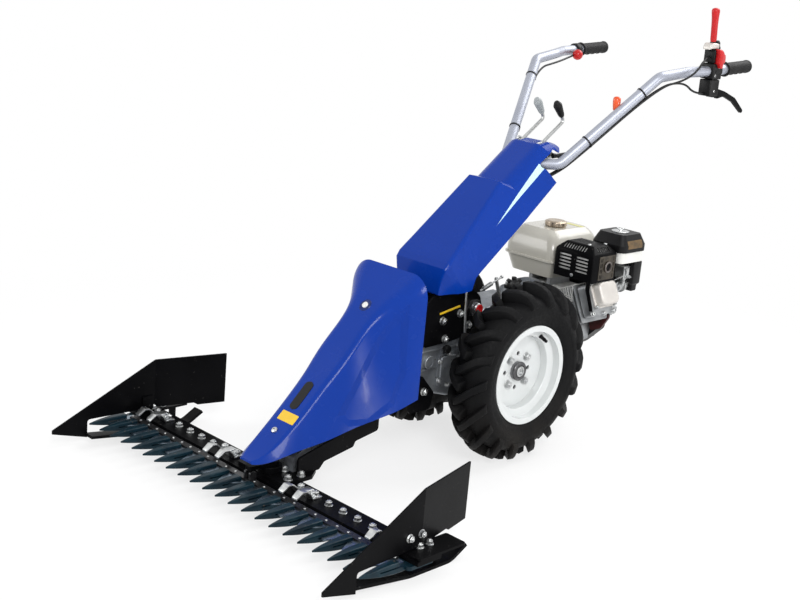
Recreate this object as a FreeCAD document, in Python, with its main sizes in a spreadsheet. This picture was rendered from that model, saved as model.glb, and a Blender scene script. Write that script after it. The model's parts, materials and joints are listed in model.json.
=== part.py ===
import FreeCAD, Part
import math
import os

import Sketcher

# Walk-behind sickle bar mower: a two-wheel tractor with its engine at the back, a column with
# a pair of handlebars, and a cutter bar at the front.
# +Z is up, the cutter bar is at -Y and +X is the machine's left. Lengths are millimetres.
# Sub-parts are drawn about the wheel axle's line: their Y counts from the axle and their Z from
# the ground. The whole machine is then shifted by axle_y, so that it stands about its own middle.

Vector = FreeCAD.Vector
LEFT = 1
RIGHT = -1

SIZES = [
    # name, value, what it is
    ("axle_y", 100.2, "place of the wheel axle behind the middle of the machine"),
    ("running_gap", 0.05, "radial clearance of a shaft in its bearing"),
    ("seat_gap", 0.3, "clearance between curved faces that seat on each other"),
    # wheels
    ("tyre_radius", 254.0, "axle height, and tyre radius over the lugs"),
    ("track_half", 177.0, "middle of a wheel from the middle of the machine"),
    ("tyre_half_width", 60.0, "half the section width of the tyre"),
    ("carcass", 12.0, "thickness of the tyre's walls"),
    ("rim_radius", 127.0, "bead seat of the rim"),
    ("rim_half_width", 45.0, "half the width of the rim"),
    ("rim_lip", 13.5, "height of the rim's lips over the bead seat"),
    ("rim_sheet", 3.0, "thickness of the rim's sheet"),
    ("well_depth", 20.0, "depth of the rim's drop centre"),
    ("disc_inset", 10.0, "inner face of the wheel disc from the middle of the tyre"),
    ("disc_sheet", 4.0, "thickness of the wheel disc"),
    ("hub_radius", 26.0, "centring boss of the hub"),
    ("bolt_circle", 49.0, "radius of the circle of the wheel bolts"),
    ("bolt_hole", 6.5, "radius of a hole in the wheel disc"),
    ("axle_radius", 17.5, "radius of the wheel shaft"),
    ("flange_radius", 62.0, "radius of the hub's flange"),
    ("flange_thick", 12.0, "thickness of the hub's flange"),
    # gearbox
    ("box_half_width", 58.0, "half the width of the gearbox"),
    ("box_front", 290.0, "front face of the gearbox ahead of the axle"),
    ("box_back", 140.0, "rear face of the gearbox behind the axle"),
    ("box_top", 400.0, "height of the gearbox's top at the axle"),
    ("box_bottom", 180.0, "height of the gearbox's bottom at the axle"),
    ("trumpet_end", 112.0, "outer end of an axle housing"),
    ("trumpet_radius", 40.0, "radius of an axle housing"),
    # engine
    ("crank_z", 330.0, "height of the crankshaft"),
    ("engine_face", 250.0, "face between the bell housing and the engine"),
    ("bell_radius", 112.0, "radius of the bell housing"),
    ("cylinder_tilt", 25.0, "angle of the cylinder over the horizontal"),
    ("cylinder_y", 335.0, "middle of the cylinder along the crankshaft"),
    ("barrel_base", 88.0, "face that carries the cylinder, from the crankshaft"),
    ("case_top", 92.0, "top of the crankcase over the crankshaft"),
    ("head_thick", 28.0, "thickness of the cylinder head"),
    ("fin_count", 7.0, "number of cooling fins"),
    ("fin_pitch", 11.0, "distance between cooling fins"),
    ("fin_thick", 3.0, "thickness of a cooling fin"),
    ("head_end", 200.0, "end of the cylinder head from the crankshaft"),
    ("shroud_back", 462.0, "rear face of the fan shroud"),
    ("tank_length", 232.0, "fuel tank along the machine"),
    ("tank_width", 190.0, "fuel tank across the machine"),
    ("tank_seam", 500.0, "height of the fuel tank's seam"),
    ("tank_upper", 86.0, "height of the tank's upper half"),
    ("tank_lower", 52.0, "depth of the tank's lower half"),
    ("gasket", 0.1, "gasket between two machined faces"),
    ("tank_x", -50.0, "middle of the tank across the machine"),
    ("tank_y", 388.0, "middle of the tank along the machine"),
    # covers
    ("cover_wall", 2.5, "wall of the moulded covers"),
    ("column_slope", 38.0, "slope of the steering column"),
    ("column_foot_y", -285.0, "lower end of the column cover, behind the axle"),
    ("column_foot_z", 560.0, "height of the top of the column cover's lower end"),
    ("post_half", 30.0, "half the width of the steering column's tube"),
    ("post_low", -112.0, "underside of the column's tube below the cover's line"),
    ("post_top", -62.0, "top of the column's tube below the cover's line"),
    ("post_end", 450.0, "upper end of the column's tube along the slope"),
    # handlebar
    ("bar_tube", 15.0, "radius of the handlebar tube"),
    ("bar_wall", 2.5, "wall of the handlebar tube"),
    ("pivot_y", 135.0, "handlebar pivot behind the axle"),
    ("pivot_z", 800.0, "height of the handlebar pivot"),
    ("grip_x", 264.0, "middle of a grip from the middle of the machine"),
    ("grip_y", 602.0, "start of the handlebar's straight end, behind the axle"),
    ("grip_z", 1083.0, "height of the start of the handlebar's straight end"),
    ("grip_tilt", 3.9, "rise of the handlebar's straight end"),
    ("grip_start", 88.0, "start of the grip along the straight end"),
    ("cable_radius", 3.0, "radius of a control cable"),
    ("ball_radius", 10.0, "radius of the throttle lever's ball"),
    ("grip_radius", 18.0, "radius of a grip"),
    ("grip_length", 122.0, "length of a grip"),
    # cutter bar
    ("finger_pitch", 50.8, "distance between fingers"),
    ("finger_count", 22.0, "number of fingers"),
    ("finger_tip", 910.0, "finger tips ahead of the axle"),
    ("beam_back", 690.0, "rear edge of the beam ahead of the axle"),
    ("beam_width", 75.0, "width of the beam"),
    ("beam_thick", 10.0, "thickness of the beam"),
    ("beam_top", 58.0, "height of the beam's top"),
    ("beam_half", 566.0, "half the length of the beam"),
    ("section_pitch", 76.2, "width of a knife section"),
    ("section_count", 14.0, "number of knife sections"),
    ("pin_radius", 6.0, "radius of the drive arm's pin"),
    ("pin_gap", 0.6, "play of the drive arm's pin in the knife's head"),
    ("arm_thick", 10.0, "thickness of the drive arm"),
    ("section_thick", 3.0, "thickness of a knife section"),
    ("section_length", 75.0, "length of a knife section"),
    ("back_width", 20.0, "width of the knife's back"),
    ("back_thick", 5.0, "thickness of the knife's back"),
    ("knife_gap", 0.3, "clearance of the knife in the fingers"),
    ("bracket_thick", 10.0, "thickness of the bracket on the middle of the beam"),
    ("case_width", 96.0, "width of the mower's gearbox"),
    ("board_nose", 1019.0, "noses of the swath boards ahead of the axle"),
    ("board_x", 530.0, "swath board from the middle of the machine"),
    ("board_sheet", 4.0, "thickness of a swath board"),
    ("skid_width", 34.0, "width of a skid"),
    ("skid_thick", 8.0, "thickness of a skid"),
    ("skid_seat", 0.2, "outer face of a skid from the middle of its swath board"),
]

doc = FreeCAD.newDocument("SickleBarMower")
sheet = doc.addObject("Spreadsheet::Sheet", "dim")
for row, (alias, value, meaning) in enumerate(SIZES, start=1):
    sheet.set(f"A{row}", alias)
    sheet.set(f"B{row}", str(value))
    sheet.setAlias(f"B{row}", alias)
    sheet.set(f"C{row}", meaning)
doc.recompute()


# ---- sizes that stay tied to the sheet -------------------------------------------------------


class Size:
    # A number together with the sheet formula that it comes from.

    def __init__(self, number, formula):
        self.number = number
        self.formula = formula

    def join(self, other, sign, result):
        return Size(result, f"({self.formula} {sign} {formula(other)})")

    def __add__(self, other):
        return self.join(other, "+", self.number + number(other))

    def __sub__(self, other):
        return self.join(other, "-", self.number - number(other))

    def __mul__(self, other):
        return self.join(other, "*", self.number * number(other))

    def __truediv__(self, other):
        return self.join(other, "/", self.number / number(other))

    def __radd__(self, other):
        return Size(float(other), repr(float(other))) + self

    def __rsub__(self, other):
        return Size(float(other), repr(float(other))) - self

    def __rtruediv__(self, other):
        return Size(float(other), repr(float(other))) / self

    def __rmul__(self, other):
        return Size(float(other), repr(float(other))) * self

    def __neg__(self):
        return self * -1


def number(value):
    return value.number if isinstance(value, Size) else float(value)


def formula(value):
    return value.formula if isinstance(value, Size) else f"({float(value)!r})"


def sine(angle):
    return Size(math.sin(math.radians(number(angle))), f"sin({formula(angle)} * 1 deg)")


def cosine(angle):
    return Size(math.cos(math.radians(number(angle))), f"cos({formula(angle)} * 1 deg)")


class Dimensions:
    # Every alias of the sheet as a Size, such as d.tyre_radius.
    pass


d = Dimensions()
for alias, value, meaning in SIZES:
    setattr(d, alias, Size(float(getattr(sheet, alias)), f"dim.{alias}"))


# ---- building blocks -------------------------------------------------------------------------

pieces = []


def bind(item, prop, value):
    item.setExpression(prop, formula(value))


def place(item, x=0, y=0, z=0, axis=None, angle=0):
    # Puts a sub-part or primitive down, turned about an axis by an angle in degrees.
    if axis:
        item.Placement = FreeCAD.Placement(Vector(0, 0, 0), FreeCAD.Rotation(Vector(*axis), 1))
        bind(item, "Placement.Rotation.Angle", angle)
    bind(item, "Placement.Base.x", x)
    bind(item, "Placement.Base.y", y)
    bind(item, "Placement.Base.z", z)
    return item


def finish(item, label, x=0, y=0, z=0, axis=None, angle=0):
    # Names a finished sub-part and sets it in the machine.
    item.Label = label
    place(item, x, d.axle_y + y, z, axis, angle)
    pieces.append(item)
    return item


def together(label, *names):
    # Joins finished sub-parts into one that is exported as a whole.
    members = [item for item in pieces if item.Label in names]
    whole = doc.addObject("Part::MultiFuse", label)
    whole.Label = label
    whole.Shapes = members
    for item in members:
        pieces.remove(item)
    pieces.append(whole)


def new_body(name):
    return doc.addObject("PartDesign::Body", name)


def origin_plane(body, role):
    return [item for item in body.Origin.OriginFeatures if item.Role == role][0]


def new_sketch(body, plane, offset, name):
    sketch = body.newObject("Sketcher::SketchObject", name)
    sketch.AttachmentSupport = [(origin_plane(body, plane), "")]
    sketch.MapMode = "FlatFace"
    bind(sketch, "AttachmentOffset.Base.z", offset)
    return sketch


def fix(sketch, kind, values, key, value):
    # Adds a driving constraint and ties it to the sheet.
    index = sketch.addConstraint(Sketcher.Constraint(kind, *values, number(value)))
    sketch.renameConstraint(index, key)
    bind(sketch, f"Constraints.{key}", value)


def rounding(before, corner, after, radius):
    # Start, end, centre and sense of the arc that rounds a corner.
    here = Vector(*corner, 0)
    back = (Vector(*before, 0) - here).normalize()
    ahead = (Vector(*after, 0) - here).normalize()
    half = back.getAngle(ahead) / 2
    reach = radius / math.tan(half)
    start = here + back * reach
    end = here + ahead * reach
    centre = here + (back + ahead).normalize() * (radius / math.sin(half))
    left_turn = (-back).cross(ahead).z > 0
    return start, end, centre, left_turn


def outline(body, plane, corners, offset=0, name="outline"):
    # A closed sketch through the corners, each (x, y) or, where rounded, (x, y, radius).
    sketch = new_sketch(body, plane, offset, name)
    spots = [(number(corner[0]), number(corner[1])) for corner in corners]
    count = len(corners)
    rounds = []
    for i, corner in enumerate(corners):
        if len(corner) > 2:
            rounds.append(rounding(spots[i - 1], spots[i], spots[(i + 1) % count], number(corner[2])))
        else:
            rounds.append(None)
    lines = []
    for i in range(count):
        j = (i + 1) % count
        start = rounds[i][1] if rounds[i] else Vector(*spots[i], 0)
        end = rounds[j][0] if rounds[j] else Vector(*spots[j], 0)
        lines.append(sketch.addGeometry(Part.LineSegment(start, end), False))
    for i, corner in enumerate(corners):
        before = lines[i - 1]
        after = lines[i]
        if not rounds[i]:
            sketch.addConstraint(Sketcher.Constraint("Coincident", before, 2, after, 1))
            spot = (after, 1)
        else:
            start, end, centre, left_turn = rounds[i]
            first = start if left_turn else end
            last = end if left_turn else start
            circle = Part.Circle(centre, Vector(0, 0, 1), number(corner[2]))
            begin = math.atan2(first.y - centre.y, first.x - centre.x)
            stop = math.atan2(last.y - centre.y, last.x - centre.x)
            arc = sketch.addGeometry(Part.ArcOfCircle(circle, begin, stop), False)
            near, far = (1, 2) if left_turn else (2, 1)
            sketch.addConstraint(Sketcher.Constraint("Tangent", before, 2, arc, near))
            sketch.addConstraint(Sketcher.Constraint("Tangent", arc, far, after, 1))
            fix(sketch, "Radius", (arc,), f"radius{i}", corner[2])
            point = sketch.addGeometry(Part.Point(Vector(*spots[i], 0)), True)
            sketch.addConstraint(Sketcher.Constraint("PointOnObject", point, 1, before))
            sketch.addConstraint(Sketcher.Constraint("PointOnObject", point, 1, after))
            spot = (point, 1)
        fix(sketch, "DistanceX", (-1, 1, *spot), f"across{i}", corner[0])
        fix(sketch, "DistanceY", (-1, 1, *spot), f"up{i}", corner[1])
    return sketch


def circles(body, plane, rings, offset=0, name="circles"):
    # A sketch of circles, each (x, y, radius).
    sketch = new_sketch(body, plane, offset, name)
    for i, (x, y, radius) in enumerate(rings):
        circle = Part.Circle(Vector(number(x), number(y), 0), Vector(0, 0, 1), number(radius))
        ring = sketch.addGeometry(circle, False)
        fix(sketch, "DistanceX", (-1, 1, ring, 3), f"across{i}", x)
        fix(sketch, "DistanceY", (-1, 1, ring, 3), f"up{i}", y)
        fix(sketch, "Radius", (ring,), f"radius{i}", radius)
    return sketch


def extrude(body, kind, sketch, length, both, flip):
    feature = body.newObject(kind, kind.split("::")[1])
    feature.Profile = sketch
    feature.SideType = "Symmetric" if both else "One side"
    feature.Reversed = flip
    if length is None:
        feature.Type = "ThroughAll"
    else:
        bind(feature, "Length", length)
    return feature


def pad(body, sketch, length, both=False, flip=False):
    return extrude(body, "PartDesign::Pad", sketch, length, both, flip)


def pocket(body, sketch, length=None, both=True, flip=False):
    return extrude(body, "PartDesign::Pocket", sketch, length, both, flip)


def revolve(body, sketch, axis="H_Axis", kind="PartDesign::Revolution"):
    feature = body.newObject(kind, kind.split("::")[1])
    feature.Profile = sketch
    feature.ReferenceAxis = (sketch, [axis])
    feature.Angle = 360
    return feature


def loft(body, sections, kind="PartDesign::AdditiveLoft"):
    feature = body.newObject(kind, kind.split("::")[1])
    feature.Profile = sections[0]
    feature.Sections = sections[1:]
    return feature


def edges_where(body, test):
    # Names of the edges of the body so far whose box centre passes the test.
    doc.recompute()
    found = []
    for i, edge in enumerate(body.Tip.Shape.Edges, start=1):
        if test(edge, edge.BoundBox.Center):
            found.append(f"Edge{i}")
    return found


def fillet(body, radius, test):
    names = edges_where(body, test)
    base = body.Tip
    feature = body.newObject("PartDesign::Fillet", "Fillet")
    feature.Base = (base, names)
    bind(feature, "Radius", radius)
    return feature


def along(edge, axis):
    # True for a straight edge that runs along X, Y or Z.
    box = edge.BoundBox
    lengths = {"X": box.XLength, "Y": box.YLength, "Z": box.ZLength}
    return all(size < 1e-4 for key, size in lengths.items() if key != axis) and lengths[axis] > 1e-3


def repeat_row(body, feature, direction, length, count):
    # Repeats a feature in a row along a line of the body's origin.
    pattern = body.newObject("PartDesign::LinearPattern", "Row")
    pattern.Originals = [feature]
    pattern.Direction = (origin_plane(body, direction), [""])
    bind(pattern, "Length", length)
    bind(pattern, "Occurrences", count)
    body.Tip = pattern
    return pattern


def repeat_ring(body, feature, axis, count):
    # Repeats a feature all round a line of the body's origin.
    pattern = body.newObject("PartDesign::PolarPattern", "Ring")
    pattern.Originals = [feature]
    pattern.Axis = (origin_plane(body, axis), [""])
    pattern.Angle = 360
    bind(pattern, "Occurrences", count)
    body.Tip = pattern
    return pattern


def shaped(label, shape, x=0, y=0, z=0):
    # A sub-part whose shape is made by Part's own functions.
    item = doc.addObject("Part::Feature", label)
    item.Shape = shape
    return finish(item, label, x, y, z)


# ---- tubes along a route -----------------------------------------------------------------------


def route(points, radius=None):
    # Straight runs joined by tangent arcs. With no radius given, each arc is as large as its
    # two runs allow.
    spots = [Vector(*point) for point in points]
    edges = []
    bends = []
    here = spots[0]
    for before, corner, after in zip(spots, spots[1:], spots[2:]):
        back = (before - corner).normalize()
        ahead = (after - corner).normalize()
        half_turn = (math.pi - back.getAngle(ahead)) / 2
        shorter = min((corner - before).Length, (after - corner).Length)
        bend = 0.45 * shorter / math.tan(half_turn) if radius is None else radius
        reach = bend * math.tan(half_turn)
        start = corner + back * reach
        end = corner + ahead * reach
        middle_line = (back + ahead).normalize()
        middle = corner + middle_line * (bend / math.cos(half_turn) - bend)
        edges.append(Part.LineSegment(here, start).toShape())
        edges.append(Part.Arc(start, middle, end).toShape())
        here = end
        bends.append(bend)
    edges.append(Part.LineSegment(here, spots[-1]).toShape())
    return Part.Wire(edges), bends


def rod(points, radius, bend=None):
    # A round bar that follows a route.
    path, bends = route(points, bend)
    start = Vector(*points[0])
    direction = Vector(*points[1]) - start
    ring = Part.Wire([Part.Circle(start, direction, radius).toShape()])
    return path.makePipeShell([ring], True, True), path.Length, bends


def on_column(reach, rise):
    # Y and Z of a point given along the column's slope and square to it.
    y = d.column_foot_y + cosine(d.column_slope) * reach - sine(d.column_slope) * rise
    z = d.column_foot_z + sine(d.column_slope) * reach + cosine(d.column_slope) * rise
    return y, z


def finish_on_column(item, label):
    # Sets down a sub-part that is drawn along the column.
    return finish(item, label, 0, d.column_foot_y, d.column_foot_z, (1, 0, 0), d.column_slope)


# ---- wheels --------------------------------------------------------------------------------


def wheel(name, side):
    middle = side * d.track_half

    tyre = new_body(f"{name}_tyre")
    half = d.tyre_half_width
    bead = d.rim_radius + 0.6
    seat = d.rim_half_width - d.rim_sheet - 1
    wall = d.carcass
    tread = d.tyre_radius
    inner = tread - 2.2 * wall
    outer_side = [
        (seat, bead),
        (seat, d.rim_radius + d.rim_lip + 4, 6),
        (half - 2, bead + 34, 14),
        (half, tread - 62, 50),
        (half - 9, tread - 37, 14),
        (half - 24, tread - 16, 20),
        (half - 44, tread, 30),
    ]
    inner_side = [
        (half - 16 - wall, inner, 20),
        (half - wall, tread - 60, 40),
        (half - 2 - wall, bead + 46, 12),
        (seat - wall, bead + 26, 8),
        (seat - wall, bead),
    ]
    right_outer = [(middle + c[0], *c[1:]) for c in outer_side]
    left_outer = [(middle - c[0], *c[1:]) for c in reversed(outer_side)]
    left_inner = [(middle - c[0], *c[1:]) for c in reversed(inner_side)]
    right_inner = [(middle + c[0], *c[1:]) for c in inner_side]
    revolve(tyre, outline(tyre, "XY_Plane", right_outer + left_outer + left_inner + right_inner))
    finish(tyre, f"{name}_tyre", z=d.tyre_radius)

    rim = new_body(f"{name}_rim")
    width = d.rim_half_width
    sheet_in = d.rim_radius - d.rim_sheet
    well = d.rim_radius - d.well_depth
    disc_in = -d.disc_inset
    disc_out = disc_in + d.disc_sheet
    section = [
        (width, d.rim_radius + d.rim_lip),
        (width - d.rim_sheet, d.rim_radius + d.rim_lip),
        (width - d.rim_sheet, d.rim_radius),
        (22, d.rim_radius, 3),
        (15, well, 3),
        (-15, well, 3),
        (-22, d.rim_radius, 3),
        (d.rim_sheet - width, d.rim_radius),
        (d.rim_sheet - width, d.rim_radius + d.rim_lip),
        (-width, d.rim_radius + d.rim_lip),
        (-width, sheet_in),
        (-24, sheet_in, 3),
        (-17, well - d.rim_sheet, 3),
        (disc_in, well - d.rim_sheet),
        (disc_in, d.hub_radius),
        (disc_out, d.hub_radius),
        (disc_out, well - d.rim_sheet),
        (17, well - d.rim_sheet, 3),
        (24, sheet_in, 3),
        (width, sheet_in),
    ]
    section = [(middle + side * c[0], *c[1:]) for c in section]
    revolve(rim, outline(rim, "XY_Plane", section))
    doc.recompute()
    holes = circles(rim, "YZ_Plane", [(d.bolt_circle, 0, d.bolt_hole)], middle)
    hole = pocket(rim, holes, 60)
    doc.recompute()
    repeat_ring(rim, hole, "X_Axis", 8)
    finish(rim, f"{name}_rim", z=d.tyre_radius)

    hub = new_body(f"{name}_hub")
    face = d.track_half - d.disc_inset
    section = [
        (d.box_half_width + 4, 0),
        (d.box_half_width + 4, d.axle_radius),
        (d.trumpet_end + 6, d.axle_radius),
        (d.trumpet_end + 6, d.axle_radius + 10),
        (face - d.flange_thick - 8, d.axle_radius + 13),
        (face - d.flange_thick, d.axle_radius + 26),
        (face - d.flange_thick, d.flange_radius),
        (face, d.flange_radius),
        (face, d.hub_radius - d.seat_gap),
        (face + 15, d.hub_radius - d.seat_gap, 2),
        (face + 15, d.hub_radius - 7),
        (face + 10, d.hub_radius - 8),
        (face + 10, 0),
    ]
    section = [(side * c[0], *c[1:]) for c in section]
    revolve(hub, outline(hub, "XY_Plane", section))
    doc.recompute()
    holes = circles(hub, "YZ_Plane", [(d.bolt_circle, 0, d.bolt_hole)], side * (face - d.flange_thick / 2))
    hole = pocket(hub, holes, 2 * d.flange_thick)
    doc.recompute()
    repeat_ring(hub, hole, "X_Axis", 8)
    finish(hub, f"{name}_hub", z=d.tyre_radius)

    trumpet = new_body(f"{name}_axle_housing")
    bore = d.axle_radius + d.running_gap
    section = [
        (d.box_half_width, bore),
        (d.trumpet_end, bore),
        (d.trumpet_end, d.trumpet_radius - 6),
        (d.trumpet_end - 10, d.trumpet_radius - 4),
        (d.box_half_width + 22, d.trumpet_radius, 8),
        (d.box_half_width + 12, d.trumpet_radius + 20),
        (d.box_half_width, d.trumpet_radius + 20),
    ]
    section = [(side * c[0], *c[1:]) for c in section]
    revolve(trumpet, outline(trumpet, "XY_Plane", section))
    finish(trumpet, f"{name}_axle_housing", z=d.tyre_radius)


# ---- tractor ---------------------------------------------------------------------------------


def gearbox():
    body = new_body("gearbox_housing")
    side_view = [
        (-d.box_front, d.box_bottom + 34, 14),
        (-150, d.box_bottom - 8, 20),
        (-60, d.box_bottom, 30),
        (70, d.box_bottom, 40),
        (d.box_back, d.crank_z - 86, 12),
        (d.box_back, d.crank_z + 86, 12),
        (40, d.box_top + 14, 20),
        (-60, d.box_top, 30),
        (-150, d.box_top - 26, 30),
        (-d.box_front, d.box_top - 36, 16),
    ]
    pad(body, outline(body, "YZ_Plane", side_view), 2 * d.box_half_width, both=True)
    fillet(body, 9, lambda edge, at: abs(at.x) > 1 and not along(edge, "X"))
    doc.recompute()
    # upright ribs on both sides, ahead of the axle
    for rib in (-190, -160, -130):
        ribs = outline(body, "XY_Plane", [
            (-d.box_half_width - 4, rib - 3),
            (d.box_half_width + 4, rib - 3),
            (d.box_half_width + 4, rib + 3),
            (-d.box_half_width - 4, rib + 3),
        ], offset=d.box_bottom + 30)
        pad(body, ribs, 110)
    finish(body, "gearbox_housing")


def bell_housing():
    body = new_body("clutch_bell_housing")
    section = [
        (0, d.box_back),
        (72, d.box_back),
        (78, d.box_back + 14, 10),
        (d.bell_radius - 8, d.box_back + 40, 16),
        (d.bell_radius - 4, d.engine_face - 16),
        (d.bell_radius + 6, d.engine_face - 16),
        (d.bell_radius + 6, d.engine_face),
        (0, d.engine_face),
    ]
    revolve(body, outline(body, "XY_Plane", section), "V_Axis")
    doc.recompute()
    rib = outline(body, "YZ_Plane", [
        (d.box_back + 6, 60),
        (d.engine_face - 14, 60),
        (d.engine_face - 14, d.bell_radius + 2),
        (d.box_back + 40, d.bell_radius - 2),
        (d.box_back + 6, 84),
    ])
    rib_pad = pad(body, rib, 4, both=True)
    doc.recompute()
    repeat_ring(body, rib_pad, "Y_Axis", 20)
    finish(body, "clutch_bell_housing", z=d.crank_z)


def engine():
    block = new_body("engine_crankcase")
    tilt_x = cosine(d.cylinder_tilt)
    tilt_z = sine(d.cylinder_tilt)
    front_view = [
        (-108, -104),
        (-60, -104),
        (-50, -90),
        (60, -90),
        (104, -64, 8),
        (d.barrel_base * tilt_x + 60 * tilt_z, d.barrel_base * tilt_z - 60 * tilt_x, 6),
        (d.barrel_base * tilt_x - 60 * tilt_z, d.barrel_base * tilt_z + 60 * tilt_x, 12),
        (-62, d.case_top, 40),
        (-100, 40, 30),
        (-100, -90),
        (-108, -90),
    ]
    pad(block, outline(block, "XZ_Plane", front_view, -d.engine_face), 160, flip=True)
    finish(block, "engine_case", z=d.crank_z)

    barrel = new_body("engine_cylinder")
    core = circles(barrel, "YZ_Plane", [(d.cylinder_y, 0, 44)], d.barrel_base + d.gasket)
    pad(barrel, core, d.head_end - d.barrel_base - d.gasket)
    doc.recompute()
    fin = outline(barrel, "YZ_Plane", [
        (d.cylinder_y - 62, -56, 10),
        (d.cylinder_y + 62, -56, 10),
        (d.cylinder_y + 62, 56, 10),
        (d.cylinder_y - 62, 56, 10),
    ], offset=d.barrel_base + 10)
    fin_pad = pad(barrel, fin, d.fin_thick)
    doc.recompute()
    repeat_row(barrel, fin_pad, "X_Axis", d.fin_pitch * (d.fin_count - 1), d.fin_count)
    doc.recompute()
    head = outline(barrel, "YZ_Plane", [
        (d.cylinder_y - 52, -44, 12),
        (d.cylinder_y + 52, -44, 12),
        (d.cylinder_y + 52, 52, 12),
        (d.cylinder_y - 52, 52, 12),
    ], offset=d.head_end - d.head_thick)
    pad(barrel, head, d.head_thick)
    finish(barrel, "engine_cylinder", z=d.crank_z, axis=(0, 1, 0), angle=-d.cylinder_tilt)

    cover = new_body("rocker_cover")
    shape = outline(cover, "YZ_Plane", [
        (d.cylinder_y - 50, -38, 14),
        (d.cylinder_y + 50, -38, 14),
        (d.cylinder_y + 50, 40, 14),
        (d.cylinder_y - 50, 40, 14),
    ], offset=d.head_end + d.gasket)
    pad(cover, shape, 30)
    fillet(cover, 8, lambda edge, at: at.x > number(d.head_end) + 29.9)
    finish(cover, "rocker_cover", z=d.crank_z, axis=(0, 1, 0), angle=-d.cylinder_tilt)

    shroud = new_body("fan_shroud")
    wrap = outline(shroud, "XZ_Plane", [
        (-112, -96, 40),
        (60, -100, 60),
        (130, -30, 20),
        (124, 98, 30),
        (-30, 112, 50),
        (-112, 90, 60),
    ], offset=-(d.engine_face + 160))
    pad(shroud, wrap, d.shroud_back - d.engine_face - 160, flip=True)
    fillet(shroud, 12, lambda edge, at: at.y > number(d.shroud_back) - 0.1)
    finish(shroud, "fan_shroud", z=d.crank_z)

    starter = new_body("recoil_starter")
    section = [
        (0, d.shroud_back),
        (84, d.shroud_back),
        (84, d.shroud_back + 20, 10),
        (60, d.shroud_back + 42, 10),
        (24, d.shroud_back + 46),
        (0, d.shroud_back + 46),
    ]
    revolve(starter, outline(starter, "XY_Plane", section), "V_Axis")
    doc.recompute()
    slot = outline(starter, "XZ_Plane", [
        (34, -4, 3),
        (66, -7, 3),
        (66, 7, 3),
        (34, 4, 3),
    ], offset=-(d.shroud_back + 60))
    slot_cut = pocket(starter, slot, 40, both=False)
    doc.recompute()
    repeat_ring(starter, slot_cut, "Y_Axis", 10)
    finish(starter, "recoil_starter", z=d.crank_z)


def fuel_tank():
    body = new_body("fuel_tank")
    half_x = d.tank_width / 2
    half_y = d.tank_length / 2

    def rounded(grow, radius):
        return [
            (-half_x - grow, -half_y - grow, radius),
            (half_x + grow, -half_y - grow, radius),
            (half_x + grow, half_y + grow, radius),
            (-half_x - grow, half_y + grow, radius),
        ]

    seam = outline(body, "XY_Plane", rounded(5, 30), -2.5)
    pad(body, seam, 5)
    upper = outline(body, "XY_Plane", rounded(0, 28), 0)
    middle = outline(body, "XY_Plane", rounded(-6, 30), d.tank_upper * 0.6)
    top = outline(body, "XY_Plane", rounded(-34, 20), d.tank_upper)
    loft(body, [upper, middle, top])
    doc.recompute()
    lower = outline(body, "XY_Plane", rounded(0, 28), 0)
    bottom = outline(body, "XY_Plane", rounded(-16, 24), -d.tank_lower)
    loft(body, [lower, bottom])
    finish(body, "fuel_tank", d.tank_x, d.tank_y, d.tank_seam)

    stays = new_body("tank_stays")
    stays.AllowCompound = True
    low = d.crank_z + d.case_top
    for x in (-56, 12):
        foot = outline(stays, "XY_Plane", [
            (x, d.engine_face + 46),
            (x + 12, d.engine_face + 46),
            (x + 12, d.engine_face + 140),
            (x, d.engine_face + 140),
        ], low)
        pad(stays, foot, d.tank_seam - d.tank_lower - low)
    finish(stays, "tank_stays")

    cap = new_body("fuel_cap")
    section = [
        (0, 0),
        (30, 0),
        (33, 4),
        (33, 15, 3),
        (26, 18),
        (0, 18),
    ]
    revolve(cap, outline(cap, "XZ_Plane", section), "V_Axis")
    finish(cap, "fuel_cap", d.tank_x + 12, d.tank_y - 14, d.tank_seam + d.tank_upper)


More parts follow.
